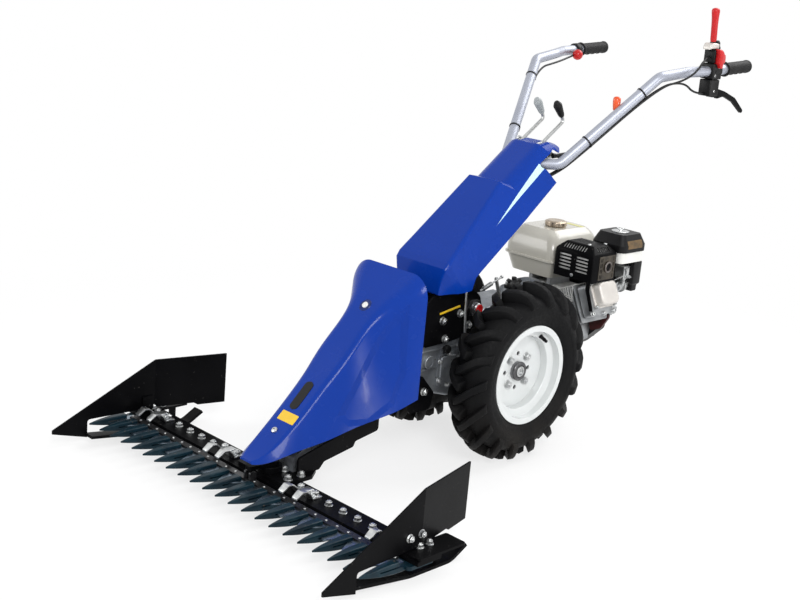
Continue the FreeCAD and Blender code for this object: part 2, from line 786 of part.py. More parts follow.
def exhaust():
    guard = new_body("muffler_guard")
    shape = outline(guard, "XY_Plane", [
        (0, 0, 14),
        (140, 0, 14),
        (140, 112, 14),
        (0, 112, 14),
    ])
    pad(guard, shape, 104)
    fillet(guard, 14, lambda edge, at: at.z > 103.9)
    doc.recompute()
    inside = outline(guard, "XY_Plane", [
        (2, 2, 12),
        (138, 2, 12),
        (138, 110, 12),
        (2, 110, 12),
    ])
    pocket(guard, inside, 90, both=False, flip=True)
    doc.recompute()
    slots = outline(guard, "XZ_Plane", [(18, 30), (60, 30), (60, 35), (18, 35)], offset=5)
    low = pocket(guard, slots, 12, both=False)
    doc.recompute()
    repeat_row(guard, low, "Z_Axis", 40, 5)
    doc.recompute()
    slots = outline(guard, "XZ_Plane", [(78, 30), (122, 30), (122, 35), (78, 35)], offset=5)
    low = pocket(guard, slots, 12, both=False)
    doc.recompute()
    repeat_row(guard, low, "Z_Axis", 40, 5)
    finish(guard, "muffler_guard", 52, 268, 472)

    muffler = new_body("muffler")
    shape = outline(muffler, "YZ_Plane", [
        (14, 14, 26),
        (98, 14, 26),
        (98, 84, 26),
        (14, 84, 26),
    ], offset=12)
    pad(muffler, shape, 112)
    doc.recompute()
    studs = circles(muffler, "YZ_Plane", [(40, 40, 5), (74, 40, 5)], 2 + d.seat_gap)
    pad(muffler, studs, 12)
    studs = circles(muffler, "YZ_Plane", [(40, 40, 5), (74, 40, 5)], 120)
    pad(muffler, studs, 18 - d.seat_gap)
    doc.recompute()
    # the exhaust port ends on the sloping top of the cylinder head
    port_x = 95
    port = circles(muffler, "XY_Plane", [(port_x, 56, 13)], -60)
    pad(muffler, port, 90)
    doc.recompute()
    head_top = (d.crank_z + 52 / cosine(d.cylinder_tilt)) - 472
    slope = sine(d.cylinder_tilt) / cosine(d.cylinder_tilt)
    below = outline(muffler, "XZ_Plane", [
        (port_x - 20, head_top + slope * (52 + port_x - 20)),
        (port_x - 20, -90),
        (port_x + 20, -90),
        (port_x + 20, head_top + slope * (52 + port_x + 20)),
    ])
    pocket(muffler, below, None, both=True)
    finish(muffler, "muffler", 52, 268, 472)


def intake():
    base = new_body("air_cleaner_base")
    shape = [(0, 0, 16), (112, 0, 16), (112, 112, 16), (0, 112, 16)]
    pad(base, outline(base, "XY_Plane", shape), 32)
    finish(base, "air_cleaner_base", 92, 388, 520)

    cover = new_body("air_cleaner_cover")
    grown = [(-4, -4, 20), (116, -4, 20), (116, 116, 20), (-4, 116, 20)]
    shrunk = [(10, 10, 14), (102, 10, 14), (102, 102, 14), (10, 102, 14)]
    pad(cover, outline(cover, "XY_Plane", grown), 20)
    low = outline(cover, "XY_Plane", grown, 20)
    high = outline(cover, "XY_Plane", shrunk, 50)
    loft(cover, [low, high])
    finish(cover, "air_cleaner_cover", 92, 388, 552)

    elbow = new_body("intake_elbow")
    shape = [(0, 0, 8), (56, 0, 8), (56, 70, 8), (0, 70, 8)]
    pad(elbow, outline(elbow, "XY_Plane", shape), 83)
    doc.recompute()
    throat = outline(elbow, "XY_Plane", [(0, 4, 6), (40, 4, 6), (40, 44, 6), (0, 44, 6)], -29)
    pad(elbow, throat, 30)
    finish(elbow, "intake_elbow", 150, 424, 437)

    carburetor = new_body("carburetor")
    pad(carburetor, outline(carburetor, "XZ_Plane", [
        (-20, -20, 6),
        (20, -20, 6),
        (20, 24, 6),
        (-20, 24, 6),
    ]), 26)
    bowl = circles(carburetor, "XY_Plane", [(0, -13, 12)], -44)
    pad(carburetor, bowl, 30)
    spacer = circles(carburetor, "XZ_Plane", [(0, 0, 13)], 20)
    pad(carburetor, spacer, 17)
    finish(carburetor, "carburetor", 162, 424, 426)

    guard = new_body("engine_guard")
    shape = outline(guard, "XZ_Plane", [
        (107, 328, 6),
        (113, 293, 8),
        (151, 310, 8),
        (173, 346, 8),
        (176, 380, 8),
        (135, 360, 6),
    ], offset=-(d.engine_face + 151))
    pad(guard, shape, 9, flip=True)
    finish(guard, "engine_guard")


def column():
    plates = new_body("column_base")
    side_view = [
        (-270, 330, 12),
        (-282, 440, 20),
        (-210, 497, 16),
        (-150, 508, 20),
        (-60, 450, 30),
        (-40, 392, 12),
        (-70, 345, 14),
        (-170, 334),
    ]
    thick = 6
    both = outline(plates, "YZ_Plane", side_view, d.box_half_width)
    pad(plates, both, thick)
    other = outline(plates, "YZ_Plane", side_view, -d.box_half_width - thick)
    pad(plates, other, thick)
    bridge = outline(plates, "YZ_Plane", [
        (-244, 420),
        (-100, 420),
        (-100, 428),
        (-244, 428),
    ])
    pad(plates, bridge, 2 * d.box_half_width, both=True)
    finish(plates, "column_base")

    post = new_body("steering_column")
    tube = outline(post, "XZ_Plane", [
        (-d.post_half, d.post_low, 5),
        (d.post_half, d.post_low, 5),
        (d.post_half, d.post_top, 5),
        (-d.post_half, d.post_top, 5),
    ], -40)
    pad(post, tube, d.post_end - 40, flip=True)
    doc.recompute()
    hollow = outline(post, "XZ_Plane", [
        (-d.post_half + 4, d.post_low + 4),
        (d.post_half - 4, d.post_low + 4),
        (d.post_half - 4, d.post_top - 4),
        (-d.post_half + 4, d.post_top - 4),
    ], -36)
    pocket(post, hollow, d.post_end, both=False)
    doc.recompute()
    # flanges that reach out to both side plates of the base
    for x in (-d.box_half_width, d.post_half):
        flange = outline(post, "YZ_Plane", [
            (44, d.post_low + 4),
            (130, d.post_low + 4),
            (130, d.post_low + 10),
            (44, d.post_low + 10),
        ], x)
        pad(post, flange, d.box_half_width - d.post_half)
    finish_on_column(post, "column_post")

    stays = new_body("column_cover_stays")
    stays.AllowCompound = True
    for at, top in ((120, -22.3), (300, -7)):
        stay = circles(stays, "XY_Plane", [(0, at, 9)], d.post_top)
        pad(stays, stay, top - 0.8 - d.cover_wall - d.seat_gap - d.post_top)
    finish_on_column(stays, "column_cover_stays")


def column_cover():
    body = new_body("column_cover")
    # stations along the column: distance, half width at the top and at the foot, top, foot,
    # corner radius and depth of the roof's wall, which is steep over the lower end
    wall = d.cover_wall
    stations = [
        (-20, 78, 79, -86, -90, 1.5, wall),
        (4, 85, 87, -57, -107, 8, 1.6 * wall),
        (26, 94, 96, -33, -124, 10, 1.3 * wall),
        (44, 95, 101, -28, -137, 10, wall),
        (66, 92, 103, -26, -149, 10, wall),
        (96, 88, 103, -24, -129, 10, wall),
        (335, 59, 102, -4, -131, 10, wall),
        (358, 66, 101, -27, -131, 44, wall),
        (520, 65, 97, -30, -131, 44, wall),
        (552, 62, 95, -47, -131, 40, 1.2 * wall),
        (574, 50, 92, -72, -131, 30, 1.2 * wall),
    ]

    def section(station, shrink, drop):
        at, top_half, foot_half, top, foot, corner, roof = station
        if shrink:
            top = top - roof
            corner = max(corner - number(shrink), 1)
        return outline(body, "XZ_Plane", [
            (-foot_half + shrink, foot - drop),
            (foot_half - shrink, foot - drop),
            (top_half - shrink, top, corner),
            (-top_half + shrink, top, corner),
        ], offset=-at)

    shell = loft(body, [section(station, 0, 0) for station in stations])
    shell.Ruled = True
    doc.recompute()
    nose_inside = (-16, 79, 80, -81, -93, 1.5, 1.6 * wall)
    hollow = [section(station, wall, 12) for station in [nose_inside] + stations[1:]]
    inside = loft(body, hollow, "PartDesign::SubtractiveLoft")
    inside.Ruled = True
    doc.recompute()
    # the sides stop short of the cap, and the handlebar comes out there
    gap = outline(body, "YZ_Plane", [
        (466, -56, 8),
        (542, -62, 6),
        (552, -84, 6),
        (620, -90),
        (620, -220),
        (490, -220),
        (482, -84, 8),
    ])
    pocket(body, gap, None, both=True)
    doc.recompute()
    # two slots that let the gear levers out
    for x in (-36, 36):
        slot = outline(body, "XZ_Plane", [(x - 9, -68), (x + 9, -68), (x + 9, -20), (x - 9, -20)], -600)
        pocket(body, slot, 74, both=False, flip=True)
    finish_on_column(body, "column_cover")


def bend_of_column(points):
    # Route points given as X, reach along the column and rise over its line.
    return [(x, *(number(value) for value in on_column(reach, rise))) for x, reach, rise in points]


def gear_levers():
    bracket = new_body("lever_bracket")
    shape = outline(bracket, "XY_Plane", [(-42, 372), (42, 372), (42, 388), (-42, 388)], d.post_top)
    pad(bracket, shape, 24)
    finish_on_column(bracket, "lever_bracket")
    for name, side in (("grey", -1), ("black", 1)):
        x = 36 * side
        points = bend_of_column([(x, 388, -44), (x, 505, -44), (x, 645, -53), (x, 647, -36)])
        rod_shape = rod(points, 5, 10)[0]
        shaped(f"{name}_gear_lever", rod_shape)
        knob = new_body(f"{name}_gear_knob")
        section = [(0, 0), (7, 0), (9, 6, 3), (13, 40, 12), (6, 54, 6), (0, 54)]
        revolve(knob, outline(knob, "XZ_Plane", section), "V_Axis")
        y, z = on_column(647, -35.4)
        finish(knob, f"{name}_gear_knob", x, y, z, (1, 0, 0), d.column_slope)


def linkage():
    flange = new_body("selector_flange")
    side_x = d.box_half_width + 6
    hexagon = [(24 * math.cos(k * math.pi / 3), 24 * math.sin(k * math.pi / 3), 3) for k in range(6)]
    pad(flange, outline(flange, "YZ_Plane", hexagon), 10)
    finish(flange, "selector_flange", side_x, -84, 420)
    cap = new_body("selector_cap")
    section = [(0, 0), (0, 16), (8, 15), (12, 11, 3), (12, 0)]
    revolve(cap, outline(cap, "XY_Plane", section))
    finish(cap, "selector_cap", side_x + 10, -84, 420)
    outer = number(side_x)
    points = [(outer, -136, 478), (outer + 14, -136, 478), (outer + 14, -122, 312), (outer - 6, -122, 312)]
    shaped("link_rod", rod(points, 4, 8)[0])

    plates = new_body("hitch_plates")
    plates.AllowCompound = True
    side_view = [
        (-304, 150, 10),
        (-304, 250, 10),
        (-262, 250, 10),
        (-212, 196, 14),
        (-224, 150, 10),
    ]
    for x in (d.box_half_width, -d.box_half_width - 6):
        pad(plates, outline(plates, "YZ_Plane", side_view, x), 6)
    finish(plates, "hitch_plates")


def front_cover():
    body = new_body("front_cover")
    # stations from the rear to the nose: distance ahead of the axle, half width at the top and
    # at the foot, top, foot and corner radius
    stations = [
        (348, 137, 134, 549, 222, 58),
        (390, 96, 133, 504, 211, 36),
        (428, 63, 128, 463, 200, 26),
        (480, 51, 118, 408, 188, 22),
        (580, 46, 100, 300, 164, 20),
        (680, 42, 76, 200, 138, 18),
        (740, 38, 60, 148, 121, 12),
        (785, 26, 38, 118, 108, 6),
        (800, 16, 24, 112, 106, 4),
    ]

    def section(station, shrink, drop):
        at, top_half, foot_half, top, foot, corner = station
        return outline(body, "XZ_Plane", [
            (-foot_half + shrink, foot - drop),
            (foot_half - shrink, foot - drop),
            (top_half - shrink, top - shrink, corner - shrink),
            (-top_half + shrink, top - shrink, corner - shrink),
        ], offset=at)

    loft(body, [section(station, 0, 0) for station in stations])
    doc.recompute()
    hollow = [section(station, d.cover_wall, 12) for station in stations[:-1]]
    loft(body, hollow, "PartDesign::SubtractiveLoft")
    finish(body, "front_cover")


# ---- mower -------------------------------------------------------------------------------------


def mower_drive():
    flange = new_body("mower_flange")
    section = [
        (0, -d.box_front - 26),
        (70, -d.box_front - 26),
        (74, -d.box_front - 20),
        (74, -d.box_front),
        (0, -d.box_front),
    ]
    revolve(flange, outline(flange, "XY_Plane", section), "V_Axis")
    finish(flange, "mower_flange", z=300)

    case = new_body("mower_gearbox")
    side_view = [
        (-d.box_front - 26, 250, 10),
        (-d.box_front - 26, 350, 10),
        (-370, 350, 20),
        (-560, 180, 40),
        (-688, 106, 10),
        (-688, d.beam_top + d.bracket_thick),
        (-600, d.beam_top + d.bracket_thick, 10),
        (-470, 110, 30),
    ]
    pad(case, outline(case, "YZ_Plane", side_view), d.case_width, both=True)
    finish(case, "mower_case")

    frame = new_body("mower_frame")
    frame.AllowCompound = True
    bracket_top = d.beam_top + d.bracket_thick
    side_view = [
        (-420, 132, 10),
        (-420, 172, 8),
        (-500, 160, 10),
        (-690, 112, 8),
        (-690, bracket_top),
        (-620, bracket_top, 8),
        (-604, 86, 8),
        (-506, 104, 8),
        (-500, 118, 8),
    ]
    plate_out = 70
    thick = 6
    case_half = d.case_width / 2
    for x in (plate_out - thick, -plate_out):
        pad(frame, outline(frame, "YZ_Plane", side_view, x), thick)
    for x in (case_half, -plate_out + thick):
        spacer = circles(frame, "YZ_Plane", [(-540, 132, 12), (-460, 142, 12)], x)
        pad(frame, spacer, plate_out - thick - case_half)
    doc.recompute()
    # two brackets on the gearbox that the front cover is screwed to
    supports = [
        [(-426, 300.3), (-446, 282.4), (-446, 441), (-426, 462.2)],
        [(-640, 134.3), (-664, 120.4), (-703, 172), (-737, 139), (-740, 144.9), (-710, 169.8), (-694, 184)],
    ]
    for corners in supports:
        pad(frame, outline(frame, "YZ_Plane", corners), 20, both=True)
        doc.recompute()
    finish(frame, "mower_frame")


def cutter_bar():
    beam_front = d.beam_back + d.beam_width
    beam_low = d.beam_top - d.beam_thick
    beam = new_body("cutter_bar")
    plan = outline(beam, "XY_Plane", [
        (-d.beam_half, -beam_front),
        (d.beam_half, -beam_front),
        (d.beam_half, -d.beam_back),
        (-d.beam_half, -d.beam_back),
    ], beam_low)
    pad(beam, plan, d.beam_thick)
    finish(beam, "cutter_bar")


def finger_guards():
    # Double fingers under the beam. One long slot through all of them lets the knife slide.
    beam_front = d.beam_back + d.beam_width
    beam_low = d.beam_top - d.beam_thick
    slot_front = knife_front + 6
    first = -(d.finger_count - 1) / 2 * d.finger_pitch
    body = new_body("finger_guards")
    body.AllowCompound = True

    def section(half_width, low, high, radius, at):
        return outline(body, "XZ_Plane", [
            (first - half_width, low, radius),
            (first + half_width, low, radius),
            (first + half_width, high, radius),
            (first - half_width, high, radius),
        ], offset=at)

    root = section(11, beam_low - 12, d.beam_top + 3, 4, beam_front + 2)
    shoulder = section(11, beam_low - 12, d.beam_top + 3, 4, beam_front + 60)
    middle = section(7.5, beam_low - 6, d.beam_top + 1, 3, beam_front + 105)
    tip = section(1.5, beam_low + 2, beam_low + 6, 1, d.finger_tip)
    prong = loft(body, [root, shoulder, middle, tip])
    doc.recompute()
    repeat_row(body, prong, "X_Axis", d.finger_pitch * (d.finger_count - 1), d.finger_count)
    doc.recompute()
    base = outline(body, "XY_Plane", [
        (first - 24.4, -d.beam_back - 14, 6),
        (first - 24.4, -beam_front - 18, 10),
        (first + d.finger_pitch + 24.4, -beam_front - 18, 10),
        (first + d.finger_pitch + 24.4, -d.beam_back - 14, 6),
    ], beam_low - 9)
    strip = pad(body, base, 9)
    doc.recompute()
    repeat_row(body, strip, "X_Axis", d.finger_pitch * (d.finger_count - 2), d.finger_count / 2)
    doc.recompute()
    slot = outline(body, "YZ_Plane", [
        (-beam_front + 4, knife_low - d.knife_gap),
        (-beam_front + 4, d.beam_top + 20),
        (-back_front - 5, d.beam_top + 20),
        (-back_front - 5, knife_low + d.section_thick + d.knife_gap),
        (-slot_front, knife_low + d.section_thick + d.knife_gap),
        (-slot_front, knife_low - d.knife_gap),
    ])
    pocket(body, slot, 2 * d.beam_half, both=True)
    finish(body, "finger_guards")


def knife():
    count = d.section_count
    half = d.section_pitch / 2 - 0.3
    first = -(count - 1) / 2 * d.section_pitch
    sections = new_body("knife_sections")
    sections.AllowCompound = True
    shape = outline(sections, "XY_Plane", [
        (first - half, -back_rear),
        (first - half, -back_front),
        (first - 8, -knife_front),
        (first + 8, -knife_front),
        (first + half, -back_front),
        (first + half, -back_rear),
    ], knife_low)
    blade = pad(sections, shape, d.section_thick)
    doc.recompute()
    repeat_row(sections, blade, "X_Axis", d.section_pitch * (count - 1), count)
    finish(sections, "knife_sections")

    back = new_body("knife_back")
    plan = outline(back, "XY_Plane", [
        (first - 20, -back_front),
        (-first + 20, -back_front),
        (-first + 20, -back_rear),
        (first - 20, -back_rear),
    ], knife_low + d.section_thick)
    pad(back, plan, d.back_thick)
    doc.recompute()
    # two cheeks between which the drive arm's pin pushes the knife to and fro
    gap = d.pin_radius + d.pin_gap
    for x in (-gap - 6, gap):
        cheek = outline(back, "YZ_Plane", [
            (-back_front, knife_top - d.back_thick),
            (-back_rear, knife_top - d.back_thick),
            (-back_rear, arm_low - 5, 5),
            (-back_front, arm_low - 5, 5),
        ], x)
        pad(back, cheek, 6)
    finish(back, "knife_back")


def hold_downs():
    # Zinc-plated plates that hold the knife down, each with a tongue between two fingers.
    body = new_body("hold_downs")
    body.AllowCompound = True
    for x in (-3, -1, 1, 3):
        middle = x * d.finger_pitch * 3
        plate = outline(body, "XY_Plane", [
            (middle - 27, -d.beam_back - 22, 4),
            (middle - 27, -d.beam_back - d.beam_width + 2, 4),
            (middle + 27, -d.beam_back - d.beam_width + 2, 4),
            (middle + 27, -d.beam_back - 22, 4),
        ], d.beam_top)
        pad(body, plate, 5)
        doc.recompute()
        side_view = [
            (-d.beam_back - d.beam_width + 20, d.beam_top + 1),
            (-d.beam_back - d.beam_width + 20, d.beam_top + 5),
            (-back_rear + 12, d.beam_top + 5, 3),
            (-back_rear + 4, knife_top + 6, 3),
            (-back_front - 8, knife_top + 6, 3),
            (-back_front - 8, knife_top + d.knife_gap),
            (-back_rear + 6, knife_top + d.knife_gap),
            (-back_rear + 6, d.beam_top + 1),
        ]
        pad(body, outline(body, "YZ_Plane", side_view, middle - 13), 26)
        doc.recompute()
    finish(body, "hold_downs")


def bar_bracket():
    body = new_body("bar_bracket")
    plan = outline(body, "XY_Plane", [
        (-90, -d.beam_back - 66, 8),
        (90, -d.beam_back - 66, 8),
        (90, -d.beam_back + 30, 12),
        (60, -d.beam_back + 70, 12),
        (-60, -d.beam_back + 70, 12),
        (-90, -d.beam_back + 30, 12),
    ], d.beam_top)
    pad(body, plan, d.bracket_thick)
    finish(body, "bar_saddle")


def drive():
    # The rocking arm that turns the drive's swing into the knife's travel.
    head = new_body("drive_head")
    bracket_top = d.beam_top + d.bracket_thick
    section = [
        (0, bracket_top),
        (30, bracket_top),
        (30, arm_low - d.seat_gap, 3),
        (9, arm_low - d.seat_gap),
        (9, arm_low + d.arm_thick + 5),
        (0, arm_low + d.arm_thick + 5),
    ]
    revolve(head, outline(head, "XZ_Plane", section), "V_Axis")
    finish(head, "drive_head", y=-arm_pivot)

    arm = new_body("drive_arm")
    reach = (back_rear + back_front) / 2 - arm_pivot
    plan = outline(arm, "XY_Plane", [
        (-22, 22, 18),
        (22, 22, 18),
        (11, -reach - 11, 9),
        (-11, -reach - 11, 9),
    ], arm_low)
    pad(arm, plan, d.arm_thick)
    doc.recompute()
    bore = circles(arm, "XY_Plane", [(0, 0, 9 + d.running_gap)], arm_low)
    pocket(arm, bore, None, both=True)
    doc.recompute()
    pin = circles(arm, "XY_Plane", [(0, -reach, d.pin_radius)], knife_top + 3)
    pad(arm, pin, arm_low - knife_top - 2)
    finish(arm, "drive_arm", y=-arm_pivot)


def swath_board(name, side):
    board = new_body(f"{name}_swath_board")
    x = side * d.board_x
    t = side * d.board_sheet
    nose = -d.board_nose
    bend = nose + 306
    rear = bend + 204
    inward = side * 52
    plan = outline(board, "XY_Plane", [
        (x + side * 10, nose),
        (x - side * 7, bend),
        (x - side * 7 - inward, rear),
        (x - side * 7 - inward - t, rear - 1),
        (x - side * 7 - t, bend - 1),
        (x + side * 10 - t, nose),
    ])
    pad(board, plan, 210)
    doc.recompute()
    above = outline(board, "YZ_Plane", [
        (nose - 10, 50),
        (nose, 54),
        (bend, 205, 12),
        (rear + 10, 205),
        (rear + 10, 240),
        (nose - 10, 240),
    ])
    pocket(board, above, None, both=True)
    doc.recompute()
    # the lower edge clears the knife and the last finger
    clear = d.beam_top + 9
    below = outline(board, "YZ_Plane", [
        (nose - 10, 44),
        (nose, 44),
        (-d.finger_tip - 8, 17),
        (-d.finger_tip - 8, clear, 8),
        (bend + 112, clear),
        (bend + 124, 60),
        (rear + 10, 60),
        (rear + 10, -10),
        (nose - 10, -10),
    ])
    pocket(board, below, None, both=True)
    finish(board, f"{name}_swath_board")

    skid = new_body(f"{name}_skid")
    thick = d.skid_thick
    front = nose + 94
    path = [
        (front, 24),
        (-745, 0, 120),
        (-612, 0, 60),
        (-562, 28),
        (-567, 27 + thick),
        (-614, thick, 52),
        (-744, thick, 112),
        (front + 1, 24 + thick),
    ]
    outer = d.board_x + d.skid_seat
    if side > 0:
        start = outer - d.skid_width
    else:
        start = -outer
    pad(skid, outline(skid, "YZ_Plane", path, start), d.skid_width)
    finish(skid, f"{name}_runner")

    shoe = new_body(f"{name}_shoe")
    thick = d.skid_thick
    rear_edge = -d.beam_back + 80
    plan = outline(shoe, "XY_Plane", [
        (side * (d.beam_half - 62), -d.beam_back - d.beam_width + 4, 6),
        (side * d.beam_half, -d.beam_back - d.beam_width + 4, 6),
        (side * d.beam_half, rear_edge, 6),
        (side * (d.beam_half - 62), rear_edge, 6),
    ], d.beam_top)
    pad(shoe, plan, 6)
    doc.recompute()
    post = outline(shoe, "YZ_Plane", [
        (rear_edge - 58, thick),
        (rear_edge - 38, thick),
        (rear_edge - 38, d.beam_top + 3),
        (rear_edge - 58, d.beam_top + 3),
    ], side * (d.board_x - 18) - 3)
    pad(shoe, post, 6)
    doc.recompute()
    # ear that the board is bolted to, on the board's inner face
    ear = outline(shoe, "XZ_Plane", [
        (side * (d.board_x - 15), d.beam_top + 3),
        (side * (d.board_x - 11), d.beam_top + 3),
        (side * (d.board_x - 11), d.beam_top + 46),
        (side * (d.board_x - 15), d.beam_top + 46),
    ], d.beam_back + 30)
    pad(shoe, ear, 34)
    finish(shoe, f"{name}_shoe")


# ---- handlebar and controls -----------------------------------------------------------------


def tube_points():
    # One half of the handlebar, from the pivot to the end of the tube.
    y = number(d.pivot_y)
    z = number(d.pivot_z)
    grip_x = number(d.grip_x)
    grip_y = number(d.grip_y)
    grip_z = number(d.grip_z)
    end = number(d.grip_start + d.grip_length)
    rise = math.tan(math.radians(number(d.grip_tilt)))
    return [
        (30, y, z),
        (98, y + 46, z + 6),
        (224, y + 292, z + 262),
        (240, y + 400, z + 277),
        (grip_x, grip_y, grip_z),
        (grip_x, grip_y + end * math.cos(math.atan(rise)), grip_z + end * math.sin(math.atan(rise))),
    ]


def handlebar():
    half = tube_points()
    points = [(-x, y, z) for x, y, z in reversed(half)] + half

    def bent(radius):
        return rod(points, radius, 34)[0]

    outer = bent(number(d.bar_tube))
    inner = bent(number(d.bar_tube - d.bar_wall))
    shaped("handlebar_tube", outer.cut(inner))

    clamp = new_body("handlebar_clamp")
    lower = on_column(d.post_end, d.post_low)
    upper = on_column(d.post_end, d.post_top + 2)
    shape = outline(clamp, "YZ_Plane", [
        lower,
        (d.pivot_y + 16, d.pivot_z - 30, 10),
        (d.pivot_y + 100, d.pivot_z + 6, 8),
        (d.pivot_y + 98, d.pivot_z + 36, 8),
        (d.pivot_y + 10, d.pivot_z + 27, 14),
        (d.pivot_y - 22, d.pivot_z + 20, 14),
        upper,
    ], 0)
    pad(clamp, shape, 36, both=True)
    doc.recompute()
    bore = circles(clamp, "YZ_Plane", [(d.pivot_y, d.pivot_z, d.bar_tube + d.running_gap)])
    pocket(clamp, bore, None, both=True)
    doc.recompute()
    slit = outline(clamp, "YZ_Plane", [
        (d.pivot_y + 8, d.pivot_z + 3),
        (d.pivot_y + 110, d.pivot_z + 20),
        (d.pivot_y + 110, d.pivot_z + 23),
        (d.pivot_y + 8, d.pivot_z + 6),
    ])
    pocket(clamp, slit, None, both=True)
    finish(clamp, "handlebar_clamp")

    disc = new_body("lock_disc")
    section = [(18, 0), (18, 17), (24, 17), (25, 13), (34, 13, 2), (34, 0)]
    revolve(disc, outline(disc, "XY_Plane", section))
    finish(disc, "lock_disc", 0, d.pivot_y + 82, d.pivot_z + 20)
    lever = new_body("lock_lever")
    section = [(0, 0), (0, 8), (14, 6, 10), (44, 10, 8), (56, 9, 8), (58, 0)]
    revolve(lever, outline(lever, "XY_Plane", section))
    finish(lever, "lock_lever", 42.6, d.pivot_y + 82, d.pivot_z + 20, (0, 0, 1), 74)


def on_grip(item, label, side, reach=0, rise=0, x=0):
    # Sets down a sub-part that is drawn along the grip's axis.
    tilt = d.grip_tilt
    y = d.grip_y + cosine(tilt) * reach - sine(tilt) * rise
    z = d.grip_z + sine(tilt) * reach + cosine(tilt) * rise
    return finish(item, label, side * d.grip_x + x, y, z, (1, 0, 0), tilt)


def grip(name, side):
    body = new_body(f"{name}_grip")
    bore = d.bar_tube + 0.2
    end = d.grip_length + d.seat_gap
    section = [
        (bore, 0),
        (d.grip_radius + 4, 0),
        (d.grip_radius + 4, 6),
        (d.grip_radius, 8),
        (d.grip_radius, d.grip_length - 4, 6),
        (d.grip_radius - 4, end + 6, 4),
        (0, end + 6),
        (0, end),
        (bore, end),
    ]
    revolve(body, outline(body, "XY_Plane", section), "V_Axis")
    on_grip(body, f"{name}_grip", side, d.grip_start)


def controls():
    bore = d.bar_tube + 0.2
    bracket = new_body("control_bracket")
    collar = circles(bracket, "XZ_Plane", [(0, 0, bore + 6), (0, 0, bore)], -14)
    pad(bracket, collar, 34, flip=True)
    doc.recompute()
    neck = outline(bracket, "YZ_Plane", [(16, bore + 2), (46, bore + 2), (38, 70, 4), (14, 70, 4)])
    pad(bracket, neck, 24, both=True)
    doc.recompute()
    tab = outline(bracket, "YZ_Plane", [(18, -bore - 2), (46, -bore - 2), (46, -76, 10), (18, -76, 10)])
    pad(bracket, tab, 18, both=True)
    on_grip(bracket, "control_clamp", LEFT)

    collar = new_body("safety_lever_collar")
    section = [(0, 0), (15, 0), (15, 10, 3), (12, 16), (0, 16)]
    revolve(collar, outline(collar, "XZ_Plane", section), "V_Axis")
    on_grip(collar, "safety_lever_collar", LEFT, 26, 70)

    red = new_body("safety_lever")
    section = [(0, 0), (9, 0), (9, 20, 4), (12, 84, 20), (12, 92, 6), (0, 92)]
    revolve(red, outline(red, "XZ_Plane", section), "V_Axis")
    doc.recompute()
    latch = outline(red, "YZ_Plane", [(-6, 6, 3), (-34, 14, 3), (-34, 24, 3), (-6, 18, 3)])
    pad(red, latch, 10, both=True)
    on_grip(red, "safety_lever", LEFT, 26, 86)

    clutch = new_body("clutch_lever")
    side_view = [
        (22, -66, 8),
        (36, -50, 8),
        (80, -62, 30),
        (140, -86, 30),
        (192, -128, 5),
        (184, -136, 5),
        (130, -98, 30),
        (76, -76, 30),
        (40, -80, 8),
    ]
    pad(clutch, outline(clutch, "YZ_Plane", side_view, 9), 8)
    on_grip(clutch, "clutch_lever", LEFT)

    clamp = new_body("throttle_clamp")
    ring = circles(clamp, "XZ_Plane", [(0, 0, bore + 5), (0, 0, bore)], -56)
    pad(clamp, ring, 22, flip=True)
    doc.recompute()
    arm = outline(clamp, "XZ_Plane", [
        (bore + 2, -8, 3),
        (bore + 18, -10, 3),
        (bore + 18, 0, 3),
        (bore + 2, 2, 3),
    ], -62)
    pad(clamp, arm, 10, flip=True)
    on_grip(clamp, "throttle_clamp", RIGHT)
    ball = doc.addObject("Part::Sphere", "ball")
    bind(ball, "Radius", d.ball_radius)
    on_grip(ball, "throttle_ball", RIGHT, 67, -5, bore + 18 + d.ball_radius)


def orange_lever():
    # A short lever on a clip on the rising part of the left tube.
    low, high = tube_points()[1:3]
    share = 0.6
    spot = [a + (b - a) * share for a, b in zip(low, high)]
    direction = (Vector(*high) - Vector(*low)).normalize()
    centre = Vector(*spot)
    bore = number(d.bar_tube) + 0.2
    ring = Part.makeCylinder(bore + 4, 18, centre - direction * 9, direction)
    ring = ring.cut(Part.makeCylinder(bore, 30, centre - direction * 15, direction))
    up = (Vector(0, 0, 1) - direction * direction.z).normalize()
    # the clip is open where the cables pass under the tube
    ring = ring.cut(Part.makeCylinder(12, 40, centre - up * (bore + 4) - direction * 20, direction))
    stem = Part.makeCylinder(5, 5, centre + up * (bore + 2), up)
    shaped("side_lever_clip", ring.fuse(stem).removeSplitter())
    knob = Part.makeCone(8, 11, 20, centre + up * (bore + 7), up)
    cap = Part.makeSphere(11, centre + up * (bore + 27))
    shaped("side_lever_knob", knob.fuse(cap).removeSplitter())


